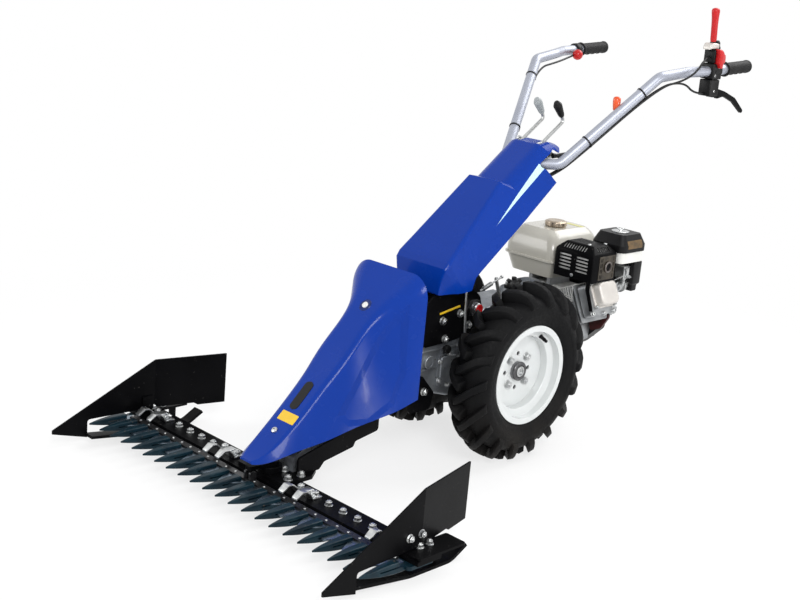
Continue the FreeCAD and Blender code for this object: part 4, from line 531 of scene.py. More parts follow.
# tyres: one lugged tyre is turned about its own axle, then set down on each side
axle = Vector((0, 0.1002, 0.254))
bothSides = ((1, "left"), (-1, "right"))
tyre = {
    "section": [(0.041, 0.1285), (0.041, 0.1405), (0.0442, 0.144), (0.0458, 0.1436), (0.0474, 0.1468),
                (0.0498, 0.149), (0.0532, 0.158), (0.056, 0.17), (0.0564, 0.1725), (0.0574, 0.174),
                (0.0572, 0.184), (0.0545, 0.1945), (0.0485, 0.2045), (0.0395, 0.2128), (0.0265, 0.2202),
                (0.0125, 0.2242), (0.0, 0.2252)],
    "inside": [(0.0, 0.2125), (0.024, 0.208), (0.04, 0.197), (0.0455, 0.178), (0.037, 0.15),
               (0.0285, 0.139), (0.0285, 0.1285)],
    "steps": 90, "lugs": 18, "fromMiddle": 0.177, "smooth": 38,
}
lug = {"halfTop": 0.0108, "halfFoot": 0.0155, "low": (-0.0095, -0.0155, 0.221),
       "high": (-0.004, 0.0155, 0.2537), "soft": (0.0016, 2, 34), "firstPull": (0.001, 0, 0),
       "slices": [  # top and foot as offset and radius, and how far the slice lags in degrees
           ((0.004, 0.2537), (0.004, 0.221), 1.2), ((0.018, 0.2528), (0.016, 0.22), 3.8),
           ((0.0325, 0.2462), (0.028, 0.214), 6.8), ((0.0452, 0.235), (0.036, 0.205), 9.4),
           ((0.0542, 0.2205), (0.044, 0.1965), 11.2), ((0.0592, 0.2065), (0.0495, 0.191), 12.4),
           ((0.0598, 0.2), (0.0525, 0.1885), 12.8)]}
ring = tyre["section"] + [(-x, r) for x, r in reversed(tyre["section"][:-1])]
ring += [(-x, r) for x, r in reversed(tyre["inside"][1:])] + tyre["inside"]
bpy.ops.object.select_all(action="DESELECT")
bpy.ops.mesh.primitive_plane_add(size=0.01, location=(ring[0][0], 0, ring[0][1]))
carcass = bpy.context.object
bpy.ops.object.transform_apply(location=True, rotation=True, scale=True)
bpy.ops.object.mode_set(mode="EDIT")
bpy.ops.mesh.select_all(action="SELECT")
bpy.ops.mesh.merge(type="CENTER")
for before, after in zip(ring, ring[1:] + ring[:1]):
    bpy.ops.mesh.extrude_vertices_move(
        TRANSFORM_OT_translate={"value": (after[0] - before[0], 0, after[1] - before[1])})
bpy.ops.mesh.select_all(action="SELECT")
bpy.ops.mesh.remove_doubles(threshold=0.00001)
bpy.ops.mesh.select_all(action="SELECT")
bpy.ops.mesh.spin(steps=tyre["steps"], angle=2 * pi, center=(0, 0, 0), axis=(1, 0, 0))
cleanShape(carcass)

sample = block("lugSample", lug["low"], lug["high"])
pick(sample, "VERT", lambda middle, corner: middle.z > (lug["low"][2] + lug["high"][2]) / 2)
bpy.ops.transform.resize(value=(1, lug["halfTop"] / lug["halfFoot"], 1), center_override=(0, 0, axle.z))
faceOut(sample, (1, 0, 0))
lagBefore = 0.0
for top, foot, lag in lug["slices"]:
    pullOut(lug["firstPull"])
    shape = bmesh.from_edit_mesh(sample.data)
    for corner in [corner for corner in shape.verts if corner.select]:
        flat = Matrix.Rotation(radians(lagBefore), 4, "X") @ corner.co
        high = abs(flat.y) < (lug["halfTop"] + lug["halfFoot"]) / 2
        offset, radius = top if high else foot
        half = lug["halfTop"] if high else lug["halfFoot"]
        corner.co = Matrix.Rotation(radians(-lag), 4, "X") @ Vector(
            (offset, half if flat.y > 0 else -half, radius))
    bmesh.update_edit_mesh(sample.data)
    lagBefore = lag
rounded(sample, *lug["soft"])
mirrorX = Matrix.Scale(-1, 4, (1, 0, 0))
pitch = 2 * pi / tyre["lugs"]
places = [Matrix.Rotation(turn * pitch, 4, "X") for turn in range(tyre["lugs"])]
places += [Matrix.Rotation((turn + 0.5) * pitch, 4, "X") @ mirrorX for turn in range(tyre["lugs"])]
lugs = repeated(sample, "lugs", places)
firstTyre = joined("leftTreadedTyre", [carcass, lugs])
secondTyre = bpy.data.objects.new("rightTreadedTyre", firstTyre.data.copy())
scene.collection.objects.link(secondTyre)
for tread, (side, sideName) in zip((firstTyre, secondTyre), bothSides):
    setDown(tread, Matrix.Translation((side * tyre["fromMiddle"], axle.y, axle.z)))
    complete(tread, "tyre_rubber", sideName + "_wheel", smooth=tyre["smooth"])
    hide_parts(sideName + "_tyre")
print("tyres ready")

# nuts and screws
nutSizes = {  # width across the flats, height, radius of the washer and of the stud
    "wheelNut": (0.017, 0.0105, 0.0118, 0.0048), "barNut": (0.0155, 0.0085, 0.0105, 0.0046),
    "clipNut": (0.0165, 0.0105, 0.0112, 0.005), "bracketNut": (0.0165, 0.01, 0.0115, 0.005),
    "boardNut": (0.0145, 0.008, 0.0105, 0.0042), "plateBolt": (0.016, 0.009, 0.0115, 0.0048),
    "caseBolt": (0.013, 0.007, 0.0085, 0.0035), "coverBolt": (0.0105, 0.0055, 0.0072, 0.0028),
    "drainBolt": (0.0155, 0.0075, 0.01, 0.0028), "headScrew": (0.0095, 0.006, 0.0058, 0.002),
    "headBolt": (0.0115, 0.0075, 0.0078, 0.003), "intakeBolt": (0.009, 0.005, 0.0055, 0.0025),
}
screwSizes = {  # radius of the head, its height and the radius of its socket
    "noseScrew": (0.0085, 0.0056, 0.0034), "capScrew": (0.0082, 0.005, 0.0032),
    "guardBolt": (0.0052, 0.0034, 0.002), "shroudScrew": (0.0062, 0.0036, 0.0024),
    "perchScrew": (0.0042, 0.0026, 0.0018),
}
nutForm = {"washerTall": 0.0015, "foot": 0.0014, "studOut": 0.0042, "washerSides": 24, "studSides": 14}


def nutSample(name):
    flats, tall, washer, stud = nutSizes[name]
    corner = flats / 2 / cos(pi / 6)
    foot, end = nutForm["foot"], nutForm["studOut"]
    plate = turned(name, [(washer * 0.97, 0), (washer, 0.0002), (washer, 0.0012),
                          (washer * 0.96, nutForm["washerTall"])], nutForm["washerSides"])
    body = turned(name + "Body", [(corner * 0.93, foot), (corner, foot + tall * 0.08),
                                  (corner, foot + tall * 0.86), (corner * 0.84, foot + tall)], 6)
    tip = turned(name + "End", [(stud, 0.001), (stud, tall + 0.0032), (stud * 0.8, tall + end)],
                 nutForm["studSides"])
    return joined(name, [plate, body, tip])


def screwSample(name):
    head, tall, socket = screwSizes[name]
    return turned(name, [(head * 0.98, 0), (head, 0.0004), (head, tall * 0.45), (head * 0.93, tall * 0.75),
                         (head * 0.72, tall * 0.95), (socket * 1.15, tall), (socket, tall),
                         (socket * 0.96, tall * 0.35)], 24)


def fixings(name, kind, spots, bodyName="chassis", slotName="zinc", finish=None):
    sample = nutSample(kind) if kind in nutSizes else screwSample(kind)
    return complete(repeated(sample, name, spots), slotName, bodyName, finish)


# wheel nuts, hub rings, the ends of the wheel shafts and the valve stems
wheelFace = {"disc": 0.1712, "nutCircle": 0.049, "nuts": 4, "nutTwist": 0.2, "hubEnd": 0.182}
hubRing = {"steps": [(0.0262, -0.004), (0.0272, -0.003), (0.0272, 0.0014), (0.0258, 0.003), (0.0182, 0.003),
                     (0.0178, -0.0008), (0.0165, -0.0012)], "sides": 40}
shaftEnd = {"steps": [(0.0155, -0.003), (0.0155, 0.0036), (0.0148, 0.0048), (0.0118, 0.0048),
                      (0.0112, 0.0012), (0.0062, 0.0012), (0.0052, -0.001)], "sides": 32}
valveStem = {"steps": [(0.0078, -0.003), (0.0082, 0.0), (0.0066, 0.003), (0.0052, 0.006), (0.005, 0.018),
                       (0.0054, 0.0186), (0.0054, 0.0205), (0.0044, 0.021), (0.0044, 0.029),
                       (0.0036, 0.0302)], "sides": 20, "at": (0.1945, 0.1585, 0.351),
             "facing": (0.94, -0.17, -0.29)}
for side, sideName in bothSides:
    wheel = sideName + "_wheel"
    spots = []
    for turn in range(wheelFace["nuts"]):
        angle = pi / 4 + turn * 2 * pi / wheelFace["nuts"]
        nutAt = Vector((side * wheelFace["disc"], wheelFace["nutCircle"] * cos(angle),
                        wheelFace["nutCircle"] * sin(angle)))
        spots.append(standing(axle + nutAt, (side, 0, 0), wheelFace["nutTwist"] + turn))
    fixings(sideName + "WheelNuts", "wheelNut", spots, wheel, "steel", "zincPlate")
    hubEnd = standing(axle + Vector((side * wheelFace["hubEnd"], 0, 0)), (side, 0, 0))
    complete(roundPart(sideName + "HubRing", hubRing, hubEnd), "black_plastic", wheel, "darkHub")
    complete(roundPart(sideName + "ShaftEnd", shaftEnd, hubEnd), "steel", wheel, "zincPlate")
    stemAt, stemFacing = (Vector((side * x, y, z)) for x, y, z in (valveStem["at"], valveStem["facing"]))
    stem = roundPart(sideName + "ValveStem", valveStem, standing(stemAt, stemFacing))
    complete(stem, "tyre_rubber", wheel, "blackPlastic")
print("wheels ready")


# covers: a pressed panel in each side of the hood, and a pale stripe on each side of the column that is a
# painted highlight along its crease
def insideShape(tree, coords, corners, edge, blend):  # 1 within a convex outline in the side view
    spread = None
    for (y1, z1), (y2, z2) in zip(corners, corners[1:] + corners[:1]):
        across = Vector((0, z1 - z2, y2 - y1)).normalized()
        side = addNode(tree, "ShaderNodeVectorMath", operation="DOT_PRODUCT")
        tree.links.new(coords, side.inputs[0])
        side.inputs[1].default_value = across
        start = across.y * y1 + across.z * z1
        step = between(tree, side.outputs["Value"], start - edge / 2, start + edge / 2)
        if spread is None:
            spread = step
        else:
            least = combine(tree, "SMOOTH_MIN", spread, step)
            least.inputs[2].default_value = blend
            spread = least.outputs[0]
    return spread


hoodPanel = {"corners": [(-0.4726, 0.207), (-0.455, 0.188), (-0.4, 0.186), (-0.33, 0.225), (-0.297, 0.3),
                         (-0.29, 0.455)], "edge": 0.016, "blend": 0.12, "deep": 0.006}
# painted highlight: a pale streak along the crease of the column cover, the same on both sides; its tone is
# the highlight's colour
paintedColumnHighlight = {"corners": [(0.0540, 0.6515), (0.2405, 0.7955), (0.2209, 0.8075)], "edge": 0.0008,
                "blend": 0.0, "tone": (0.55, 0.78, 0.86)}


def coverPaint(name, outline):
    paint = makeFinish(name, finishes["blueCover"])
    tree = paint.node_tree
    mask = insideShape(tree, tree.nodes["Texture Coordinate"].outputs["Object"], outline["corners"],
                       outline["edge"], outline["blend"])
    return paint, tree, mask


hoodPaint, hoodTree, panelMask = coverPaint("hoodBlue", hoodPanel)
panelBump = addNode(hoodTree, "ShaderNodeBump", invert=True)
panelBump.inputs["Strength"].default_value = 1.0
panelBump.inputs["Distance"].default_value = hoodPanel["deep"]
hoodTree.links.new(panelMask, panelBump.inputs["Height"])
hoodTree.links.new(panelBump.outputs[0], hoodTree.nodes["Bump"].inputs["Normal"])
nodes["front_cover"].material_slots[0].material = hoodPaint

# the column's blue with the pale stripe of painted highlight mixed into its colour
columnPaint, columnTree, paintedHighlightMask = coverPaint("columnBlueWithHighlight", paintedColumnHighlight)
columnColour = columnTree.nodes["Principled BSDF"].inputs["Base Color"]
columnTree.links.new(blendColours(columnTree, paintedHighlightMask, columnColour.links[0].from_socket,
                                  paintedColumnHighlight["tone"]), columnColour)
nodes["column_cover"].material_slots[0].material = columnPaint

sheetRules = {"across": 12, "along": 24, "lift": 0.002, "gap": 0.0002, "ends": 0.0015}


def plateOn(name, plate):  # a thin blank plate that follows the skin under it
    spot, normal = onSkin(plate["on"], plate["at"])
    width, height = plate["size"]
    ends = plate.get("ends", sheetRules["ends"])
    bpy.ops.object.select_all(action="DESELECT")
    bpy.ops.mesh.primitive_grid_add(x_subdivisions=sheetRules["across"],
                                    y_subdivisions=sheetRules["along"], size=1)
    sheet = bpy.context.object
    sheet.name = name
    sheet.scale = (width, height, 1)
    bpy.ops.object.transform_apply(location=True, rotation=True, scale=True)
    bpy.ops.object.mode_set(mode="EDIT")
    shape = bmesh.from_edit_mesh(sheet.data)
    for corner in shape.verts:  # the ends are drawn in, so that the corners are round
        past = min(1.0, max(0.0, abs(corner.co.y) - (height / 2 - ends)) / ends)
        corner.co.x *= 1 - (1 - (1 - past * past) ** 0.5) * ends / (width / 2)
    bmesh.update_edit_mesh(sheet.data)
    bpy.ops.object.mode_set(mode="OBJECT")
    setDown(sheet, standing(spot + normal * sheetRules["lift"], normal))
    wrap = sheet.modifiers.new("follow", "SHRINKWRAP")
    wrap.target = nodes[plate["on"]]
    wrap.wrap_method = "NEAREST_SURFACEPOINT"
    wrap.wrap_mode = "ABOVE_SURFACE"
    wrap.offset = sheetRules["gap"]
    wall = sheet.modifiers.new("wall", "SOLIDIFY")
    wall.thickness = plate["thick"]
    wall.offset = 1.0
    for step in ("follow", "wall"):
        bpy.ops.object.modifier_apply(modifier=step)
    return complete(sheet, plate["slot"], finish=plate["finish"])


# hood fittings
hoodSlot = {"on": "front_cover", "at": (0, -0.532, 0.246), "size": (0.029, 0.0866), "thick": 0.0011,
            "ends": 0.029 * 0.46, "finish": "blackPlastic", "slot": "black_plastic"}
hoodPlate = {"on": "front_cover", "at": (0.008, -0.58, 0.1996), "size": (0.06, 0.028), "thick": 0.0005,
             "finish": "labelYellow", "slot": "white_plastic"}
topScrew = {"steps": [(0.0085, -0.001), (0.0088, 0.0012), (0.0082, 0.0032), (0.0064, 0.0046),
                      (0.0034, 0.0053)], "sides": 28}
hoodDish = {"steps": [(0.0175, -0.0012), (0.0178, 0.0), (0.0166, 0.0012), (0.0145, 0.0014),
                      (0.0112, 0.0003), (0.0092, 0.0002)], "sides": 36}
coverScrews = {"top": (0, -0.334, 0.456), "nose": (0, -0.6137, 0.1696), "cap": (0.045, 0.266, 0.859)}
plateOn("hoodSlotInsert", hoodSlot)
plateOn("hoodPlate", hoodPlate)
topSpot = standing(*onSkin("front_cover", coverScrews["top"]))
complete(roundPart("hoodTopScrew", topScrew, topSpot), "white_plastic")
complete(roundPart("hoodDish", hoodDish, topSpot), "blue_cover", finish="blueDeep")
fixings("hoodNoseScrew", "noseScrew", [standing(*onSkin("front_cover", coverScrews["nose"]))])
fixings("columnCapScrews", "capScrew",
        [standing(*onSkin("column_cover", (side * coverScrews["cap"][0], *coverScrews["cap"][1:])))
         for side in (-1, 1)])
print("covers ready")

# cutter bar: nuts, hold-down clips and rivets
bar = {"boltRow": -0.627, "pitch": 0.0508, "top": 0.058, "clips": (-0.4572, -0.1524, 0.1524, 0.4572),
       "nutPairs": 11, "bracketEnd": 0.095, "clipEnd": 0.04, "boardAt": 0.52, "twist": 40}
rowSpots = [bar["pitch"] * (step + 0.5) for step in range(-bar["nutPairs"], bar["nutPairs"])]
plainSpots = [x for x in rowSpots if bar["bracketEnd"] < abs(x) < bar["boardAt"]
              and min(abs(x - clip) for clip in bar["clips"]) > bar["clipEnd"]]
fixings("barNuts", "barNut",
        [standing((x, bar["boltRow"], bar["top"]), turn=x * bar["twist"]) for x in plainSpots])

clip = {"low": (-0.0365, -0.6415, 0.0581), "high": (0.0365, -0.6125, 0.063), "ribHalf": 0.0145,
        "ribInset": 0.003, "ribUp": (0, -0.003, 0.0105), "soft": (0.0009, 2, 25), "twist": 31,
        "tongueAt": 0.0255,
        "tongue": [((0, -0.007, 0.0125), (1, 1, 1)), ((0, -0.012, 0.0105), (1, 1, 1)),
                   ((0, -0.0135, 0.001), (1, 1, 1)), ((0, -0.011, -0.0085), (0.95, 1, 1)),
                   ((0, -0.0075, -0.005), (0.86, 1, 1))]}
clipSample = block("clipSample", clip["low"], clip["high"])
bpy.ops.object.mode_set(mode="EDIT")
for side in (-1, 1):
    bpy.ops.mesh.select_all(action="SELECT")
    bpy.ops.mesh.bisect(plane_co=(side * clip["ribHalf"], 0, 0), plane_no=(1, 0, 0))
for side in (-1, 1):
    drawOut(clipSample, (0, -1, 0), clip["tongue"], (side * clip["tongueAt"], 0, 0),
            lambda middle: middle.x * side > clip["ribHalf"])
faceOut(clipSample, (0, 0, 1), lambda middle: abs(middle.x) < clip["ribHalf"] and middle.y > clip["low"][1])
bpy.ops.mesh.inset(thickness=clip["ribInset"])
bpy.ops.transform.translate(value=clip["ribUp"])
rounded(clipSample, *clip["soft"])
clips = repeated(clipSample, "holdDownClips", [Matrix.Translation((x, 0, 0)) for x in bar["clips"]])
complete(clips, "zinc")
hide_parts("hold_downs")
clipSpots = [at + side * bar["pitch"] / 2 for at in bar["clips"] for side in (-1, 1)]
fixings("clipNuts", "clipNut",
        [standing((x, bar["boltRow"], clip["high"][2]), turn=x * clip["twist"]) for x in clipSpots])
bracketNuts = {"at": ((-0.076, -0.627), (0.076, -0.627), (-0.0762, -0.585), (0.0762, -0.585),
                      (-0.028, -0.598), (0.028, -0.598)), "above": 0.5, "twist": 50}
fixings("bracketNuts", "bracketNut",
        [standing(castOn("bar_bracket", (x, y, bracketNuts["above"]), (0, 0, -1))[0],
                  turn=x * bracketNuts["twist"]) for x, y in bracketNuts["at"]])

rivet = {"steps": [(0.0034, -0.0004), (0.0034, 0.0006), (0.0029, 0.0014), (0.0016, 0.0019)], "sides": 12,
         "sections": 14, "sectionWide": 0.0762, "fromMiddle": 0.019, "row": -0.685, "above": 0.5}
rivetSpots = []
for step in range(rivet["sections"]):
    middle = rivet["sectionWide"] * (step - (rivet["sections"] - 1) / 2)
    for side in (-1, 1):
        start = (middle + side * rivet["fromMiddle"], rivet["row"], rivet["above"])
        met = castOn("knife_back", start, (0, 0, -1))[0]
        if met:
            rivetSpots.append(standing(met))
rivets = repeated(turned("rivetSample", rivet["steps"], rivet["sides"]), "knifeRivets", rivetSpots)
complete(rivets, "steel", "knife", "zincPlate")
print("cutter bar ready:", len(plainSpots), "plain nuts,", len(rivetSpots), "rivets")

# swath boards: two bolts of the skid and two of the board on each side
boardNuts = {"skidX": 0.5215, "skidZ": 0.064, "skidY": (-0.6157, -0.5842), "skidTwist": 90,
             "boardYZ": ((-0.655, 0.098), (-0.615, 0.098)), "boardTwist": 70}
boardSpots = []
for side, sideName in bothSides[::-1]:
    for y in boardNuts["skidY"]:
        boardSpots.append(standing((side * boardNuts["skidX"], y, boardNuts["skidZ"]),
                                   turn=y * boardNuts["skidTwist"]))
    for y, z in boardNuts["boardYZ"]:
        boardSpots += landing(sideName + "_swath_board", (side, y, z), (-side, 0, 0),
                              y * boardNuts["boardTwist"])
fixings("boardNuts", "boardNut", boardSpots)
print("swath boards ready")

# gearbox and column base: fittings on the plates
plates = {"face": 0.064, "boltTwist": 60,
          "bolts": ((-0.1535, 0.206), (-0.104, 0.3977), (-0.0375, 0.4094), (0.0, 0.372), (-0.09, 0.345))}
breather = {"steps": [(0.006, 0), (0.006, 0.006), (0.0115, 0.007), (0.012, 0.009), (0.012, 0.015),
                      (0.0105, 0.0175), (0.005, 0.0185)], "sides": 24,
            "at": (0.0642, -0.0876, 0.318), "facing": (1, 0, 0)}
selectorPlug = {"steps": [(0.0128, -0.001), (0.0132, 0.0006), (0.0124, 0.0022), (0.0088, 0.0026),
                          (0.0084, 0.0012)], "sides": 28, "from": (0.2, 0.0165, 0.42)}
levelStrip = {"low": (0.0642, -0.118, 0.4215), "high": (0.0651, -0.038, 0.4275), "soft": (0.0003, 1, 30),
              "middle": Vector((0, -0.078, 0.4245)), "turn": radians(9)}
fixings("plateBolts", "plateBolt",
        [standing((side * plates["face"], y, z), (side, 0, 0), y * plates["boltTwist"])
         for y, z in plates["bolts"] for side in (-1, 1)])
complete(roundPart("breatherCap", breather), "black_plastic")
plugAt = castOn("selector", selectorPlug["from"], (-1, 0, 0))[0]
complete(roundPart("selectorPlug", selectorPlug, standing(plugAt, (1, 0, 0))), "red_plastic")
strip = drawnBar("levelStrip", levelStrip)
setDown(strip, Matrix.Translation(levelStrip["middle"]) @ Matrix.Rotation(levelStrip["turn"], 4, "X")
        @ Matrix.Translation(-levelStrip["middle"]))
complete(strip, "white_plastic", finish="labelYellow")

flange = {"bolts": 6, "circle": 0.0515, "from": 0.116}
bell = {"bolts": 10, "circle": 0.105, "from": -0.2, "height": 0.33, "square": 0.5}
flangeSpots = []
for side in (-1, 1):
    for turn in range(flange["bolts"]):
        angle = turn * pi / 3 + pi / 6
        start = (side * flange["from"], axle.y + flange["circle"] * cos(angle),
                 axle.z + flange["circle"] * sin(angle))
        flangeSpots += landing("axle_housings", start, (-side, 0, 0), angle)
fixings("axleHousingBolts", "caseBolt", flangeSpots)
bellSpots = []
for turn in range(bell["bolts"]):
    angle = turn * pi / 5
    start = (bell["circle"] * cos(angle), bell["from"], bell["height"] + bell["circle"] * sin(angle))
    bellSpots += landing("clutch_bell_housing", start, (0, 1, 0), angle, bell["square"])
fixings("bellHousingBolts", "caseBolt", bellSpots)

sideCover = {"low": (0.0578, -0.104, 0.207), "high": (0.0628, -0.022, 0.302), "corner": (0.003, 0.018, 4),
             "panel": ((0.009, 0.0), (0.0016, 0.0034)), "soft": (0.0008, 2, 35)}
castRibs = [{"low": low, "high": high, "soft": (0.0014, 2, 35)} for low, high in (
    ((0.0575, -0.172, 0.3145), (0.0632, -0.006, 0.3195)),
    ((0.0575, -0.186, 0.2625), (0.0638, -0.1055, 0.2675)),
    ((0.0575, -0.02, 0.196), (0.0632, -0.015, 0.3165)))]
castBoss = {"steps": [(0.0185, 0.057), (0.0185, 0.0665), (0.0172, 0.068), (0.0118, 0.068),
                      (0.0112, 0.0664), (0.004, 0.0664)], "sides": 30, "at": (0, -0.141, 0.286)}
cover = block("sideCoverSample", sideCover["low"], sideCover["high"])
bevelAlong(cover, 0, *sideCover["corner"])
panelIn(cover, (1, 0, 0), *sideCover["panel"])
rounded(cover, *sideCover["soft"])
ribs = [drawnBar("castRib", rib) for rib in castRibs]
boss = roundPart("castBoss", castBoss, Matrix.Translation(castBoss["at"]) @ Matrix.Rotation(pi / 2, 4, "Y"))
castSide = joined("castSideSample", [cover, boss] + ribs)
complete(repeated(castSide, "gearboxSideCastings", [Matrix.Identity(4), mirrorX]), "gearbox_alloy")
coverBolts = {"at": ((-0.0985, 0.228), (-0.0985, 0.281), (-0.0275, 0.228), (-0.0275, 0.281),
                     (-0.063, 0.2115), (-0.063, 0.2975)), "twist": 90}
fixings("gearboxCoverBolts", "coverBolt",
        [standing((side * sideCover["high"][0], y, z), (side, 0, 0), z * coverBolts["twist"])
         for side in (-1, 1) for y, z in coverBolts["at"]])

# brake linkage and star knob
pullWay = (0, 0.945, 0.327)
brakeArm = {"low": (0.0475, 0.1335, 0.412), "high": (0.0515, 0.1485, 0.43), "soft": (0.0006, 2, 30),
            "pulls": [((0, 0, 1), [((0, -0.012, 0.028), (1, 0.86, 1)), ((0, -0.013, 0.026), (1, 0.86, 1)),
                                   ((0, -0.002, 0.005), (1, 0.86, 1))], (0.0495, 0.13, 0.45))]}
brakePull = {"steps": [(0.0026, -0.046), (0.0026, 0.043), (0.0046, 0.0434), (0.0046, 0.048)], "sides": 16,
             "at": (0.054, 0.0933, 0.474), "facing": pullWay}
spring = {"steps": [(0.0042, -0.0013), (0.0062, -0.0007), (0.0062, 0.0007), (0.0042, 0.0013)], "sides": 20,
          "from": (0.054, 0.062, 0.4632), "pitch": (0, 0.00265, 0.00092), "turns": 13}
springSpots = [standing(Vector(spring["from"]) + step * Vector(spring["pitch"]), pullWay)
               for step in range(spring["turns"])]
arm = drawnBar("brakeArm", brakeArm)
pull = roundPart("brakePull", brakePull)
coils = repeated(turned("springTurn", spring["steps"], spring["sides"]), "brakeSpring", springSpots)
complete(joined("brakeLinkage", [arm, pull, coils]), "zinc")

knobPlace = {"at": (0.052, 0.196, 0.4535), "facing": (0.9, -0.4, 0.1)}
knobCore = {"steps": [(0.0165, -0.0085), (0.0195, -0.007), (0.0195, 0.007), (0.0165, 0.009),
                      (0.0085, 0.0115), (0.0075, 0.0135)], "sides": 32}
starTooth = {"low": (0.0165, -0.0052, -0.007), "high": (0.028, 0.0052, 0.007), "soft": (0.0018, 2, 40),
             "count": 8}
knobBracket = {"low": (0.034, 0.188, 0.41), "high": (0.04, 0.208, 0.462), "soft": (0.0012, 2, 40)}
spindle = {"steps": [(0.0055, -0.02), (0.0055, -0.004)], "sides": 18, **knobPlace}
core = turned("starKnobCore", knobCore["steps"], knobCore["sides"])
teeth = repeated(drawnBar("starTooth", starTooth), "starTeeth",
                 [Matrix.Rotation(radians(360 / starTooth["count"] * step), 4, "Z")
                  for step in range(starTooth["count"])])
starKnob = setDown(joined("starKnob", [core, teeth]), standing(knobPlace["at"], knobPlace["facing"]))
complete(starKnob, "black_plastic")
complete(joined("starKnobCarrier", [drawnBar("starKnobBracket", knobBracket),
                                    roundPart("starKnobSpindle", spindle)]), "zinc")
print("gearbox fittings ready:", len(flangeSpots), len(bellSpots))

# engine: the silencer's guard, with slots cut through its sheet
guard = {"low": (0.0522, 0.3685, 0.4722), "high": (0.1918, 0.4798, 0.5757), "chamfer": 0.022,
         "wall": 0.0018, "soft": (0.0042, 3, 30), "jacketGap": 0.0042, "jacketSoft": (0.003, 2, 30),
         "smooth": 30, "topBolts": ((0.152, 0.395), (0.166, 0.452)), "frontBolt": (0.121, 0.4835)}
slots = {  # half sizes, then where the row starts, its pitch and its count
    "wide": {"half": (0.0215, 0.0027, 0.004), "columns": (0.091, 0.152), "rows": (0.4985, 0.01, 5)},
    "front": {"half": (0.0023, 0.0092, 0.004), "row": (0.079, 0.0092, 9)},
    "right": {"half": (0.0021, 0.0085, 0.004), "row": (0.402, 0.0092, 6)},
    "top": {"half": (0.0018, 0.019, 0.004), "row": (0.088, 0.0105, 5), "y": 0.424},
    "plate": {"half": (0.0017, 0.0062, 0.0012), "columns": (0.405, 0.4115, 0.4645), "x": 0.1931,
              "rows": (0.4885, 0.0165, 4)},
}


def inRow(start, pitch, count):
    return [start + step * pitch for step in range(count)]


def cutSlots(piece, name, half, spots):  # rounded slots through a sheet
    cutter = block(name, [-size for size in half], half)
    bevelAlong(cutter, 2, half[2], min(half[0], half[1]) * 0.8, 2)
    bpy.ops.object.mode_set(mode="OBJECT")
    tool = repeated(cutter, name, spots)
    bpy.ops.object.select_all(action="DESELECT")
    bpy.context.view_layer.objects.active = piece
    piece.select_set(True)
    opening = piece.modifiers.new("slots", "BOOLEAN")
    opening.operation = "DIFFERENCE"
    opening.object = tool
    bpy.ops.object.modifier_apply(modifier="slots")
    bpy.data.objects.remove(tool)


shell = block("louvredGuard", guard["low"], guard["high"])
bevelBeyond(shell, 2, guard["high"][2] - 0.0001, guard["chamfer"], 1)
faceOut(shell, (0, 0, -1))
bpy.ops.mesh.delete(type="FACE")
softenEdges(shell, *guard["soft"])
bpy.ops.object.mode_set(mode="OBJECT")
sheetWall = shell.modifiers.new("wall", "SOLIDIFY")
sheetWall.thickness = guard["wall"]
sheetWall.offset = -1.0
bpy.ops.object.modifier_apply(modifier="wall")
frontFace, rightFace, topFace = guard["low"][1], guard["high"][0], guard["high"][2]
inward = guard["chamfer"] / 2  # to the middle of the sloping band round the top
cutSlots(shell, "wideSlots", slots["wide"]["half"],
         [standing((x, frontFace, z), (0, -1, 0)) for x in slots["wide"]["columns"]
          for z in inRow(*slots["wide"]["rows"])])
cutSlots(shell, "frontSlits", slots["front"]["half"],
         [standing((x, frontFace + inward, topFace - inward), (0, -1, 1))
          for x in inRow(*slots["front"]["row"])])
cutSlots(shell, "rightSlits", slots["right"]["half"],
         [standing((rightFace - inward, y, topFace - inward), (1, 0, 1))
          for y in inRow(*slots["right"]["row"])])
cutSlots(shell, "topSlots", slots["top"]["half"],
         [standing((x, slots["top"]["y"], topFace)) for x in inRow(*slots["top"]["row"])])
jacket = block("silencerJacket", [edge + guard["jacketGap"] for edge in guard["low"]],
               [edge - guard["jacketGap"] for edge in guard["high"]])
bevelBeyond(jacket, 2, topFace - guard["jacketGap"] - 0.0003, guard["chamfer"], 1)
rounded(jacket, *guard["jacketSoft"])
complete(jacket, "exhaust_metal", finish="jacketAlloy")
complete(shell, "black_paint", smooth=guard["smooth"])
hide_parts("muffler_guard")
frontBolt = (guard["frontBolt"][0], frontFace, guard["frontBolt"][1])
fixings("guardBolts", "guardBolt",
        [standing((x, y, topFace)) for x, y in guard["topBolts"]] + [standing(frontBolt, (0, -1, 0))])

# engine: the exhaust's outlet on the guard's right face
outlet = {"low": (0.1919, 0.3975, 0.4785), "high": (0.1933, 0.4715, 0.5485),
          "panel": ((0.0028, 0), (0.0008, -0.0005)), "soft": (0.0006, 2, 40)}
outletBack = {"low": (0.1916, 0.4, 0.482), "high": (0.1921, 0.4695, 0.5455), "soft": (0.0002, 1, 40)}
outletPipe = {"steps": [(0.0135, 0), (0.0135, 0.0012), (0.0165, 0.0014), (0.0165, 0.0034), (0.0148, 0.0044),
                        (0.0122, 0.0044), (0.0116, 0.001), (0.0112, -0.0004)], "sides": 32,
              "at": (0.1932, 0.4385, 0.5155), "facing": (1, 0, 0)}
